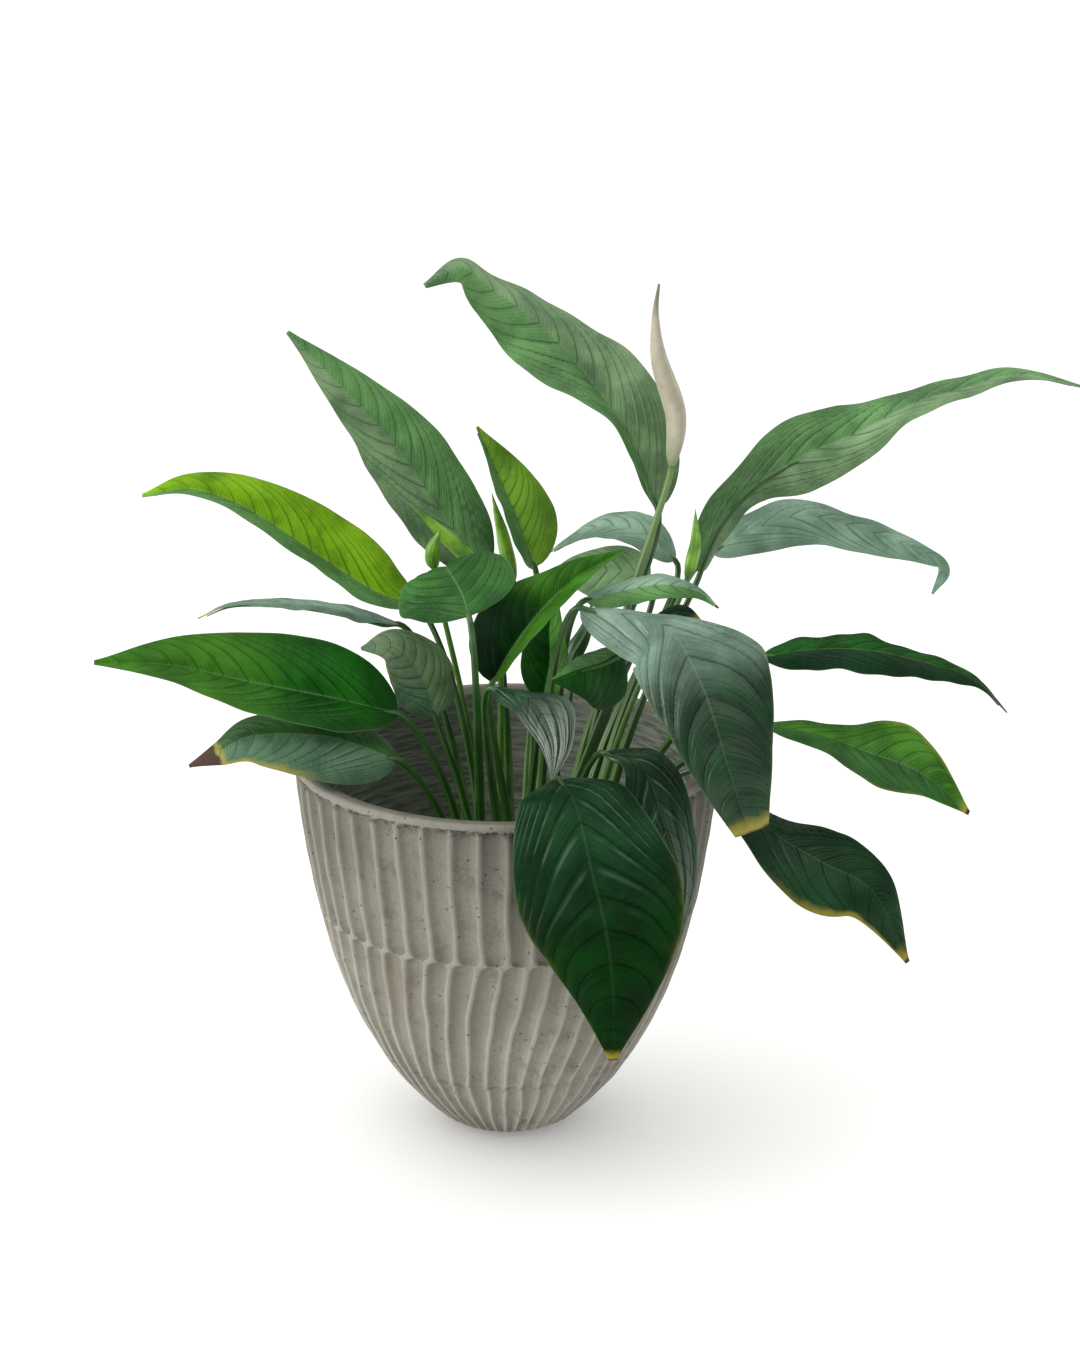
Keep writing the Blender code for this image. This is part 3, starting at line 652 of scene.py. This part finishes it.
def stalk_material():
    """Green rod, paler where the wing mark says the sheath edge is, with long faint streaks."""
    material, tree = new_material("stalk_skin", Specular_IOR_Level=0.5)
    streaks = mark(tree, "streak")
    body = mix(ramp(streaks, 0.3, 0.8), (0.008, 0.042, 0.007), (0.034, 0.115, 0.016))
    cloud = ramp(noise(tree, 60.0, 3.0), 0.35, 0.7, 0.0, 0.5)
    body = mix(cloud, body, (0.045, 0.120, 0.025))
    body = mix(mark(tree, "wing"), body, GREENS["stalk_edge"])
    body = mix(ramp(mark(tree, "length"), 0.25, 0.0, 0.0, 0.6), body, (0.11, 0.21, 0.05))
    return dress(material, body, ramp(streaks, 0.2, 0.8, 0.30, 0.46), streaks, 0.2, 0.0004)


def streak_mark(angle, along):
    """Slow streaks up a stalk: half plus a quarter of each of two sines of the turn, which lean a
    little as they rise."""
    return 0.5 + 0.25 * np.sin(3 * angle + 4 * along) + 0.25 * np.sin(7 * angle - 3 * along)


# ---- leaves

def add_blade(name, path, halves, look):
    """One leaf blade.

    At share s along the midrib and across a from -1 to 1 the middle of the sheet is
    midrib(s) + outline(s) (fold(a) (R + L) / 2 + a (R - L) / 2), where L and R reach to the edges
    and fold(a) is |a| rounded off at the midrib. Along its normal it is arched, rippled at the
    edges and puffed up between side veins, which lie where
    phase = veins (s - g) / (1 - g), g = 0.24 (|a| + |a|^2.4), is a whole number. Where the rows
    crowd together in a bend, these reliefs fade out.
    """
    line = curve_through(from_plan(path), BLADE_ROWS)
    left, right, up = half_vectors(line, halves)
    share = np.linspace(0, 1, BLADE_ROWS + 1)[:, None]
    across = np.sin(np.linspace(-np.pi / 2, np.pi / 2, BLADE_COLUMNS + 1))[None, :]
    far = np.abs(across)
    outline = leaf_outline(share * look["end"])
    fold = np.sqrt(far ** 2 + FOLD_BLUNT ** 2) - FOLD_BLUNT
    middle = fold[..., None] * (right + left)[:, None] / 2
    middle += across[..., None] * (right - left)[:, None] / 2
    middle = line[:, None] + outline[..., None] * middle

    lean = VEIN_LEAN * (far + far ** 2.4)
    phase = look["veins"] * (share - lean) / (1 - lean)
    width = np.linalg.norm(right - left, axis=1)[:, None] * outline
    puff = np.abs(np.sin(np.pi * phase)) ** 0.6 - 0.65
    size = np.clip(width / FULL_RELIEF_WIDTH, 0.0, 1.3)
    calm = smooth_step(0.02, 0.2, far) * (1 - far ** 5) * smooth_step(0.02, 0.12, share)
    height = 1.4 * look["relief"] * MM * puff * size * calm
    height += 0.1 * width * (far - far ** 2)
    seed = len(name) * 1.7
    beat = 2 * np.pi * look["ripples"] * share + 1.4 * np.sign(across)
    ripple = np.sin(beat + seed) * (0.6 + 0.4 * np.sin(0.43 * beat + 2.1 * seed))
    ripple += 0.35 * np.sin(2.37 * beat + 3.3 * seed)
    height += look["wave"] * MM * ripple * far ** 2.5 * size
    height -= 0.4 * MM * np.exp(-(across * width / (5 * MM)) ** 2)
    steps = np.gradient(middle, axis=0)
    mean_step = steps.mean(axis=1, keepdims=True)
    spread = (steps * mean_step).sum(axis=-1) / (mean_step ** 2).sum(axis=-1)
    height *= smooth_step(0.1, 0.6, spread)
    middle += grid_normals(middle) * height[..., None]

    points, faces = closed_sheet(middle, SHEET_THICKNESS * (1.0 - 0.45 * far ** 3))
    marks = {"share": share, "across": across, "phase": phase,
             "under": np.array([0, 1])[:, None, None]}
    piece = add_mesh(name + "_blade", points, faces, marks, leaf_material(name, look))
    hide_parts("blade_" + name)
    return line, up, piece


def stalk_curve(foot, line, count):
    """Cubic Bezier from the soil to the start of the line, straight up at first and heading along
    the line at the end."""
    neck, heading = line[0], unit(line[1] - line[0])
    start = np.array([foot[0] * MM, foot[1] * MM, SOIL_TOP - 0.004])
    distance = np.linalg.norm(neck - start)
    lift = start + np.array([0, 0, STALK_RISE * distance])
    approach = neck - heading * STALK_BEND * distance
    t = np.linspace(0, 1, 100)[:, None]
    back = 1 - t
    fine = back ** 3 * start + 3 * back ** 2 * t * lift + 3 * back * t ** 2 * approach
    return evenly(fine + t ** 3 * neck, count)


def outward_right(foot, neck):
    """Right-hand side of someone looking from the foot towards the neck, in plan."""
    outward = np.array([neck[0] - foot[0] * MM, neck[1] - foot[1] * MM, 0.0])
    return unit(np.cross(outward + np.array([0, -1e-4, 0]), (0.0, 0.0, 1.0)))


def add_stalk(name, foot, line, up):
    """Channelled leaf stalk that runs on as the midrib under the blade.

    The ring's reach is r (1 - groove + wings): the groove is a bell curve on the upper side, and
    the wings are two narrow bell curves beside it that fade out half-way up, as a sheath does.
    """
    lower = stalk_curve(foot, line, 60)
    rib_share = np.linspace(0, 1, len(line))
    radius = STALK_NECK_RADIUS * (1 - rib_share) ** 0.8 * 0.85 + 0.00025
    sink = smooth_step(0.0, 0.08, rib_share) * (radius * 1.1 + 0.0011)
    rib = (line - up * sink[:, None])[1:-4:2]
    path = np.vstack([lower, rib])
    radii = np.concatenate([np.linspace(STALK_FOOT_RADIUS, STALK_NECK_RADIUS, len(lower)),
                            radius[1:-4:2]])
    right, over = travelling_frames(path, outward_right(foot, line[0]))
    along = np.concatenate([np.linspace(0, 1, len(lower)), np.full(len(rib), 1.0)])[:, None]
    angle = turns(STALK_SIDES)
    off = np.abs(angle - np.pi / 2)
    off = np.minimum(off, 2 * np.pi - off)
    groove = 0.38 * np.exp(-(off / 0.5) ** 2) * (1 - smooth_step(0.8, 1.0, along))
    wing = np.exp(-((off - 0.8) / 0.28) ** 2) * (1 - smooth_step(0.35, 0.62, along))
    reach = radii[:, None] * (1 - groove + 0.55 * wing)
    points, faces = tube(path, right, over, reach)
    marks = {"wing": np.clip(wing * 1.2, 0, 1), "length": along,
             "streak": streak_mark(angle, along)}
    piece = add_mesh(name + "_stalk", points, faces, marks, STALK_SKIN)
    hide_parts("stalk_" + name)


STALK_SKIN = stalk_material()


def add_leaves():
    for name, (foot, halves, path) in LEAVES.items():
        line, up, blade = add_blade(name, path, halves, {**PLAIN_LOOK, **LOOKS[name]})
        add_stalk(name, foot, line, up)


# ---- young leaves and flower

def add_young_leaf(name, foot, radius, skin, path):
    """Rolled young leaf on its stalk: the ring's reach is R (0.84 + 0.16 a / 2 pi), which leaves
    the step of the outer edge running up the roll."""
    rolled = curve_through(from_plan(path), 50)
    lower = stalk_curve(foot, rolled, 50)
    share = np.linspace(0, 1, len(rolled))
    roll = np.maximum(radius * MM * leaf_outline(share), 0.0018 * (1.02 - share) + 0.0001)
    line = np.vstack([lower[:-1], rolled])
    radii = np.concatenate([np.linspace(0.0026, 0.0018, len(lower))[:-1], roll])
    right, over = travelling_frames(line, outward_right(foot, rolled[0]))
    along = np.concatenate([np.zeros(len(lower) - 1), share])[:, None]
    turn = (np.arange(ROLL_SIDES) / ROLL_SIDES)[None, :]
    rolled_up = smooth_step(0.0, 0.15, along)
    reach = radii[:, None] * (1 - rolled_up * 0.22 * (1 - turn))
    reach = reach * (1 + 0.05 * rolled_up * np.sin(2 * np.pi * (turn * 3 - along * 2.0)))
    points, faces = tube(line, right, over, reach)
    piece = add_mesh(name + "_roll", points, faces, {"along": along, "turn": turn},
                     YOUNG_SKINS[skin])
    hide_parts(name + "_leaf")


def young_material(name, dark, light):
    """Fine veins along the roll, painted shade down in its overlap, and the stalk's green on the
    stalk and the foot of the roll.
    """
    material, tree = new_material(name, Coat_Weight=0.1, Coat_Roughness=0.3)
    lines = ramp(math_node("SINE", times(mark(tree, "turn"), 75.0)), -0.6, 1.0)
    body = mix(ramp(noise(tree, 60.0, 3.0), 0.35, 0.65), dark, light)
    # Painted shade down in the overlap, under the lapping edge of the roll.
    body = layered(body, (lines, 0.25, dark), (ramp(mark(tree, "turn"), 0.16, 0.0), 0.6, dark),
                   (ramp(mark(tree, "along"), 0.2, 0.0), 0.7, GREENS["stalk"]))
    return dress(material, body, ramp(lines, 0.0, 1.0, 0.36, 0.48), lines, 0.3, 0.0004)


YOUNG_SKINS = {
    "lime": young_material("young_lime", (0.075, 0.21, 0.012), GREENS["young"]),
    "deep": young_material("young_deep", (0.012, 0.07, 0.014), (0.035, 0.14, 0.03)),
}


def spathe_material():
    """Beige hood, lighter towards its outer edge, with long veins and a dry dark tip."""
    material, tree = new_material("spathe_skin", Sheen_Weight=0.15)
    share, across = mark(tree, "share"), mark(tree, "across")
    lines = ramp(math_node("SINE", times(across, 42.0)), -0.5, 1.0)
    body = mix(ramp(noise(tree, 90.0, 3.0), 0.3, 0.7), (0.36, 0.33, 0.235), (0.47, 0.44, 0.34))
    body = layered(body, (lines, 0.35, (0.29, 0.285, 0.19)),
                   (ramp(across, 0.86, 0.98), 0.8, (0.68, 0.66, 0.56)),
                   (ramp(share, 0.2, 0.0), 0.75, (0.15, 0.24, 0.09)),
                   (ramp(share, 0.78, 0.97), 0.8, (0.12, 0.10, 0.075)))
    return dress(material, body, ramp(lines, 0.0, 1.0, 0.45, 0.6), lines, 0.35, 0.0005)


def spadix_material():
    material, tree = new_material("spadix_skin")
    grains = noise(tree, 700.0, 2.0)
    body = mix(ramp(grains, 0.35, 0.65), (0.42, 0.37, 0.16), (0.68, 0.64, 0.42))
    return dress(material, body, ramp(grains, 0.2, 0.8, 0.5, 0.7), grains, 0.4, 0.0006)


def add_flower():
    """Closed flower: the hood is a sheet rolled 1.08 turns round the bud, its reach growing with
    the turn, so its outer edge laps over the start; the spike inside is pebbled in a spiral."""
    bud = curve_through(from_plan(FLOWER_PATH), 90)
    lower = stalk_curve(FLOWER_FOOT, bud, 80)
    right, over = travelling_frames(lower, outward_right(FLOWER_FOOT, bud[0]))
    radii = np.linspace(0.0028, 0.0023, len(lower))[:, None]
    angle = turns(STALK_SIDES)
    reach = radii * (1 + 0.03 * np.sin(5 * angle))
    points, faces = tube(lower, right, over, reach)
    along = np.linspace(0, 1, len(lower))[:, None]
    marks = {"wing": 0.25 + 0.45 * along, "length": along, "streak": streak_mark(angle, along)}
    stalk = add_mesh("flower_stem", points, faces, marks, STALK_SKIN)
    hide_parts("flower_stalk")

    right, over = travelling_frames(bud)
    share = np.linspace(0, 1, len(bud))[:, None]
    lap = np.linspace(0, 1, 61)[None, :]
    turn = np.radians(HOOD_START_DEGREES) + lap * 2 * np.pi * HOOD_TURNS
    body = 0.0086 * leaf_outline(share) * (1 - 0.25 * smooth_step(0.55, 0.9, share)) + 0.0004
    reach = body * (0.80 + 0.20 * lap) * (1 + 0.14 * np.cos(2 * turn))
    ring = np.cos(turn)[..., None] * right[:, None] + np.sin(turn)[..., None] * over[:, None]
    middle = (bud[:, None] + reach[..., None] * ring)[:, ::-1]
    points, faces = closed_sheet(middle, HOOD_THICKNESS)
    hood = add_mesh("spathe_hood", points, faces, {"share": share, "across": lap[:, ::-1]},
                    spathe_material())
    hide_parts("spathe")

    core = bud[10:48]
    right, over = travelling_frames(core)
    share = np.linspace(0.12, 0.93, len(core))[:, None]
    angle = turns(24)
    pebbles = np.abs(np.sin(4 * angle + 30 * share) * np.sin(4 * angle - 30 * share))
    reach = 0.0033 * np.sin(np.pi * share) * (0.9 + 0.1 * pebbles)
    points, faces = tube(core, right, over, reach)
    spike = add_mesh("spadix_spike", points, faces, {}, spadix_material())
    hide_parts("spadix")


# ---- pot and soil

def pot_radius(height):
    """Outline radius at each height: straight spans between the outline points, rounded off by
    averaging over a short stretch of height."""
    heights, radii = (np.array(column) for column in zip(*POT_OUTLINE))
    share = np.asarray(height) / POT_HEIGHT
    spread = share[..., None] + np.linspace(-0.035, 0.035, 9)
    low, high = 2 * radii[0] - radii[1], 2 * radii[-1] - radii[-2]
    heights = np.concatenate([[-0.025], heights, [1.09]])
    radii = np.concatenate([[low * 0.6], radii, [high]])
    smooth = np.interp(spread, heights, radii).mean(axis=-1)
    exact = np.interp(share, heights, radii)
    keep = smooth_step(0.03, 0.09, share) * smooth_step(1.0, 0.94, share)
    return RIM_RADIUS * (keep * smooth + (1 - keep) * exact)


def flute_depth(phase, from_top, from_foot, top_arch, foot_arch):
    """Share of the depth in a tier: c = 1 - |x / w|^3 across the flute, x from -1 to 1, where the
    half width w is 0.88 and closes as an arch, sqrt(1 - (1 - d / arch)^2), at both ends. The last
    step, 1.12 c^2 / (c + 0.12), rounds off the ridges."""
    x = 2 * (phase - np.floor(phase)) - 1
    near_top = np.clip(from_top / top_arch, 0, 1)
    near_foot = np.clip(from_foot / foot_arch, 0, 1)
    w = FLUTE_SHARE * np.sqrt(1 - (1 - near_top) ** 2) * np.sqrt(1 - (1 - near_foot) ** 2)
    cut = np.clip(1 - np.abs(x / (w + 1e-6)) ** 3, 0, 1) * np.minimum(w * 1.4, 1.0)
    return cut ** 2 / (cut + 0.12) * 1.12


def carve_pot(height, angle):
    """How deep the three tiers of flutes are at each height and angle, as a share of the depth.
    The arched ends of the flutes leave a zigzag ridge between the two upper tiers."""
    turn = 2 * np.pi / FLUTES
    share = height / POT_HEIGHT
    waver = 0.05 * np.sin(7 * angle + 17 * share) + 0.04 * np.sin(17 * angle - 31 * share + 2)
    waver += 0.02 * np.sin(31 * angle + 43 * share)
    twist = np.radians(TWIST_DEGREES) * (TIER_1_END - share) / (TIER_1_END - TIER_2_END)
    offset = np.radians(TIER_OFFSET_DEGREES)
    first, second = TIER_1_END * POT_HEIGHT, TIER_2_END * POT_HEIGHT
    top = flute_depth(angle / turn + waver * 0.4, POT_HEIGHT - RIM_BAND - height,
                      height - first + TIER_LAP, 0.0022, 0.0062)
    middle = flute_depth((angle - offset - twist) / turn + waver * 0.8, first + TIER_LAP - height,
                         height - second + TIER_LAP, 0.0062, 0.0016)
    low = flute_depth((angle - offset) / turn + waver, second + TIER_LAP - height,
                      height - 0.0015, 0.0016, 0.012)
    return np.maximum(np.maximum(top, middle), low)


def add_pot():
    """Outer skin R(z) - D cut(z, a), rim, inner skin R(z) - wall and both floors with the drain
    holes through them; the heights are closer together at the rim and the tier ends."""
    columns = FLUTES * 10
    angle = turns(columns)
    steps = [np.linspace(0.0, 1.0, 62)]
    for centre, reach, count in ((TIER_1_END, 0.035, 26), (TIER_2_END, 0.018, 12),
                                 (1 - RIM_BAND / POT_HEIGHT, 0.02, 14)):
        steps.append(np.linspace(centre - reach, centre + reach, count))
    share = np.unique(np.concatenate(steps).clip(0, 1))
    keep = np.concatenate([[True], np.diff(share) > 0.0012])
    share = share[keep][:, None]
    height = share * POT_HEIGHT
    cut = carve_pot(height, angle)
    depth = FLUTE_DEPTH * (1.45 + 0.14 * np.sin(5 * angle + 9 * share))
    lumps = 0.00022 * np.sin(23 * angle + 170 * height) * np.sin(11 * angle - 90 * height)
    rim_round = 0.0014 * smooth_step(POT_HEIGHT - 0.003, POT_HEIGHT, height) ** 2
    reach = pot_radius(height) - depth * cut + lumps * (height < POT_HEIGHT - RIM_BAND) - rim_round
    outer = round_points(np.minimum(reach, RIM_RADIUS), angle, height)

    inner_height = np.concatenate([np.linspace(1.0, 0.5, 26), np.linspace(0.47, 0.08, 14)])
    inner_height = (inner_height * POT_HEIGHT)[:, None]
    inner_height[0] = POT_HEIGHT
    ripple = 0.00035 * np.sin(inner_height * 1100 + 3 * np.sin(4 * angle) + 1.5 * np.sin(9 * angle))
    inner_reach = pot_radius(inner_height) - WALL + ripple
    inner_reach[0] = pot_radius(POT_HEIGHT) - WALL + 0.0012
    inner = round_points(inner_reach, angle, inner_height)
    floor = round_points(FLOOR_REACH, angle, FLOOR_THICKNESS)
    rings = np.concatenate([outer, inner, floor])
    n, m = numbered(*rings.shape[:2])
    faces = quads(n[:-1], m[:-1], m[1:], n[1:]).tolist()

    inside, ridge, under_rim_dark, seam = np.zeros((4, *rings.shape[:2]))
    inside[len(outer) + 1:] = 1
    # ridge: how far a point stands out of the flutes; it carries the pale wear and the painted
    # highlight on the ridges.
    ridge[:len(outer)] = 1 - np.clip(cut, 0, 1)
    # A dark band just under the rim band, over the tops of the upper flutes.
    gap = POT_HEIGHT - RIM_BAND - height
    under_rim_dark[:len(outer)] = np.exp(-(gap / 0.004) ** 2) * (gap > -0.0006)
    seam[:len(outer)] = np.exp(-((share - TIER_2_END) * POT_HEIGHT / 0.0011) ** 2)
    marks = {"inside": inside, "ridge": ridge, "under_rim_dark": under_rim_dark, "seam": seam}
    piece = add_mesh("cement_pot", rings, faces, marks, cement_material())
    close_floors(piece, columns, len(rings))
    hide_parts("pot")


def close_floors(piece, columns, levels):
    """Fills the outer and inner floor round the drain holes and joins the holes through them."""
    mesh = bmesh.new()
    mesh.from_mesh(piece.data)
    mesh.verts.ensure_lookup_table()
    first, last = 0, (levels - 1) * columns
    floors = ((first, 0.0), (last, FLOOR_THICKNESS))
    loops = {start: [[mesh.verts[start + k] for k in range(columns)]] for start, _ in floors}
    for hole in range(DRAIN_HOLES):
        bearing = 2 * np.pi * hole / DRAIN_HOLES
        centre = DRAIN_RING * np.array([math.cos(bearing), math.sin(bearing), 0.0])
        ring = {}
        for start, level in floors:
            spots = round_points(DRAIN_RADIUS, turns(DRAIN_SIDES)[0], level) + centre
            ring[start] = [mesh.verts.new(spot) for spot in spots.tolist()]
            loops[start].append(ring[start])
        for k in range(DRAIN_SIDES):
            nxt = (k + 1) % DRAIN_SIDES
            mesh.faces.new((ring[first][k], ring[last][k], ring[last][nxt], ring[first][nxt]))
    for start, _ in floors:
        edges = []
        for loop in loops[start]:
            for a, b in zip(loop, loop[1:] + loop[:1]):
                edges.append(mesh.edges.get((a, b)) or mesh.edges.new((a, b)))
        bmesh.ops.triangle_fill(mesh, edges=edges, use_beauty=True, use_dissolve=False)
    bmesh.ops.recalc_face_normals(mesh, faces=mesh.faces)
    mesh.to_mesh(piece.data)
    mesh.free()


def cement_material():
    """Dry cast cement: cloudy grey, paler ridges that are partly wear and partly a painted
    highlight, a patchy dark band just under the rim band, brown stains, pin holes, painted shade
    darkening the upper part, and a striated inside whose darker, greener tone is painted shade."""
    material, tree = new_material("cement", Specular_IOR_Level=0.25)
    inside = mark(tree, "inside")
    cloud = noise(tree, 9.0, 5.0, 0.6)
    grain = noise(tree, 420.0, 4.0, 0.7)
    blotch = noise(tree, 48.0, 8.0, 0.8)
    stain = noise(tree, 16.0, 5.0, 0.65, squashed(tree, 0.45))
    stria = noise(tree, 42.0, 4.0, 0.6, squashed(tree, 9.0))
    # The dark band just under the rim band, broken up into patches.
    under_rim_dark = times(mark(tree, "under_rim_dark"), ramp(noise(tree, 260.0, 4.0, 0.7), 0.44, 0.58))
    seam = times(mark(tree, "seam"), ramp(noise(tree, 70.0, 3.0), 0.35, 0.55))
    cells = add_node(tree, "ShaderNodeTexVoronoi", {"Vector": place(tree), "Scale": 210.0})
    picked = ramp(noise(tree, 130.0, 1.0), 0.56, 0.62)
    pin = times(ramp(cells.outputs["Distance"], 0.2, 0.1), picked)
    body = mix(ramp(cloud, 0.3, 0.7), (0.225, 0.216, 0.180), (0.325, 0.314, 0.266))
    body = layered(body, (ramp(grain, 0.35, 0.62, 1.0, 0.0), 0.35, (0.17, 0.16, 0.135)),
                   (ramp(blotch, 0.48, 0.66), 0.7, (0.150, 0.142, 0.118)),
                   # Paler ridges: partly wear, partly a painted highlight on the raised ridges
                   # between the flutes.
                   (ramp(mark(tree, "ridge"), 0.6, 1.0), 0.42, (0.52, 0.51, 0.45)),
                   (ramp(stain, 0.56, 0.75), 0.5, (0.235, 0.195, 0.14)),
                   (under_rim_dark, 0.9, (0.045, 0.043, 0.038)), (seam, 0.55, (0.16, 0.15, 0.13)),
                   (pin, 0.85, (0.05, 0.048, 0.042)))
    # Painted shade: the pot is darkened more and more towards the top, where the leaves above shade
    # it.
    up = add_node(tree, "ShaderNodeSeparateXYZ", {0: place(tree)}).outputs[2]
    body = layered(body, (ramp(up, 0.05, 0.27), 0.8, tinted(body, (0.5, 0.5, 0.47))))
    # The inside: striations of its own, in a darker, greener tone that is painted shade inside the
    # pot.
    wall = mix(ramp(stria, 0.35, 0.65), (0.075, 0.088, 0.068), (0.185, 0.200, 0.165))
    body = mix(inside, body, wall)
    height = minus(times(grain, 0.7), times(pin, 1.3))
    height = minus(plus(height, times(stria, inside)), times(under_rim_dark, 0.8))
    return dress(material, body, ramp(grain, 0.3, 0.7, 0.78, 0.92), height, 0.7, 0.0009)


def soil_material():
    """Nearly black wet crumbs among brown fibres."""
    material, tree = new_material("soil_crumbs", Specular_IOR_Level=0.3)
    coarse = noise(tree, 160.0, 5.0, 0.7)
    body = mix(ramp(coarse, 0.35, 0.7), (0.012, 0.008, 0.005), (0.085, 0.055, 0.032))
    fibre = ramp(noise(tree, 480.0, 3.0), 0.6, 0.72, 0.0, 0.6)
    body = mix(fibre, body, (0.17, 0.125, 0.075))
    return dress(material, body, ramp(coarse, 0.3, 0.7, 0.85, 1.0), coarse, 0.9, 0.002)


def soil_level(x, y):
    """Height above the soil's top: a sum of sine ripples, each shorter and lower than the last."""
    level = np.zeros_like(x)
    for k, (size, wave) in enumerate(((1.6, 55.0), (1.1, 120.0), (0.8, 260.0), (0.5, 520.0))):
        swing = 1.3 * k
        level += size * np.sin(wave * x + swing + 2 * np.sin(wave * 0.5 * y))
        level += size * np.sin(wave * y - swing + 2 * np.sin(wave * 0.6 * x + 1))
    return level * MM * 0.5


def add_soil():
    """Uneven top soil on a plain body, and crumbs: balls squashed and roughened at random."""
    low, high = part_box("potting_soil")
    top_reach = high[0] - 0.0004
    angle = turns(120)
    share = np.linspace(0.02, 1.0, 46)[:, None]
    top = round_points(top_reach * share, angle, SOIL_TOP - 0.0015)[::-1]
    top[..., 2] += soil_level(top[..., 0], top[..., 1])
    level = np.linspace(SOIL_TOP - 0.01, low[2] + 0.003, 14)[:, None]
    reach = np.minimum(pot_radius(level) - WALL - 0.0008, top_reach)
    side = round_points(reach, angle, level)
    rings = np.concatenate([side[::-1], top])
    n, m = numbered(*rings.shape[:2])
    faces = quads(n[:-1], m[:-1], m[1:], n[1:]).tolist()
    faces.append(n[0, ::-1].tolist())
    faces.append(n[-1].tolist())
    crumb_points, crumb_faces = crumbs(top_reach)
    faces += [[n.size + corner for corner in face] for face in crumb_faces]
    points = np.concatenate([rings.reshape(-1, 3), crumb_points])
    piece = add_mesh("top_soil", points, faces, {}, soil_material())
    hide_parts("potting_soil")


def crumbs(top_reach):
    """Crumbs about 1 to 6 mm across, most of them small, spread evenly over the disc: balls of
    five rings of seven points, each squashed by its own three factors and roughened at random."""
    draw = np.random.default_rng(CRUMB_SEED)
    count = CRUMBS
    bearing = draw.uniform(0, 2 * np.pi, count)
    away = (top_reach - 0.004) * np.sqrt(draw.uniform(0, 1, count))
    x, y = away * np.cos(bearing), away * np.sin(bearing)
    size = 0.0007 + 0.0022 * draw.uniform(0, 1, count) ** 2.5
    squash = draw.uniform(0.6, 1.3, (count, 1, 1, 3))
    tilt = np.linspace(0.12, np.pi - 0.12, CRUMB_ROWS)[:, None]
    ball = round_points(np.sin(tilt), turns(CRUMB_SIDES), np.cos(tilt))
    rough = draw.uniform(0.8, 1.2, (count, CRUMB_ROWS, CRUMB_SIDES, 1))
    middle = np.stack([x, y, SOIL_TOP - 0.001 + soil_level(x, y) + size * 0.4], axis=-1)
    points = middle[:, None, None] + ball * squash * rough * size[:, None, None, None]
    n, m = numbered(CRUMB_ROWS, CRUMB_SIDES)
    shell = quads(n[:-1], n[1:], m[1:], m[:-1])
    poles = np.stack([n[0], n[-1, ::-1]])
    start = n.size * np.arange(count)[:, None, None]
    sides = (shell + start).reshape(-1, 4).tolist()
    return points.reshape(-1, 3), sides + (poles + start).reshape(-1, CRUMB_SIDES).tolist()


# ---- stage

def add_light(name, kind, spot, power):
    """A lamp at the spot, aimed at a point above the rim."""
    lamp = bpy.data.lights.new(name, kind)
    lamp.energy = power
    lamp.color = (1.0, 0.99, 0.97)
    light = add_object(name, lamp)
    aim = np.array([0.0, 0.0, 0.3]) - np.array(spot)
    light.location = spot
    light.rotation_euler = (math.acos(-aim[2] / np.linalg.norm(aim)), 0.0,
                            math.atan2(aim[1], aim[0]) - math.pi / 2)
    return lamp


def add_stage():
    """Pale floor, surroundings that are full bright to the camera and dimmer as a light, a high
    soft light, a fill light from the left that casts no shadow, and the camera."""
    r = FLOOR_HALF_WIDTH
    mesh = bpy.data.meshes.new("floor")
    corners = [(-r, -r, 0), (r, -r, 0), (r, r, 0), (-r, r, 0)]
    mesh.from_pydata(corners, [], [(0, 1, 2, 3)])
    floor = add_object("floor", mesh)
    material, tree = new_material("floor_paint", Roughness=0.9, Specular_IOR_Level=0.1)
    tint = noise(tree, 0.6, 2.0)
    tree.links.new(mix(tint, (0.92, 0.92, 0.92), (0.94, 0.94, 0.94)),
                   tree.nodes["Principled BSDF"].inputs["Base Color"])
    mesh.materials.append(material)

    world = bpy.data.worlds.new("studio")
    bpy.context.scene.world = world
    world.use_nodes = True
    backdrop = world.node_tree.nodes["Background"]
    backdrop.inputs["Color"].default_value = (0.975, 0.985, 1.0, 1.0)
    seen = world.node_tree.nodes.new("ShaderNodeLightPath").outputs["Is Camera Ray"]
    strength = plus(times(seen, 1.0 - SKY_FILL), SKY_FILL)
    world.node_tree.links.new(strength, backdrop.inputs["Strength"])
    add_light("sky_light", "SUN", (-0.08, 0.06, 2.0), 2.9).angle = 2.0
    side_light = add_light("window_light", "AREA", (-1.8, -0.4, 0.7), 24.0)
    side_light.size = 0.9
    side_light.use_shadow = False

    lens = bpy.data.cameras.new("camera")
    lens.lens = CAMERA_LENS
    lens.sensor_width = 36.0
    camera = add_object("camera", lens)
    camera.location = CAMERA_PLACE
    camera.rotation_euler = (math.radians(CAMERA_TILT_DEGREES), 0.0,
                             math.radians(CAMERA_TURN_DEGREES))
    bpy.context.scene.camera = camera
    bpy.context.scene.view_settings.view_transform = "Standard"


add_pot()
add_soil()
add_leaves()
for young_name, young_plan in YOUNG_LEAVES.items():
    add_young_leaf(young_name, *young_plan)
add_flower()
add_stage()
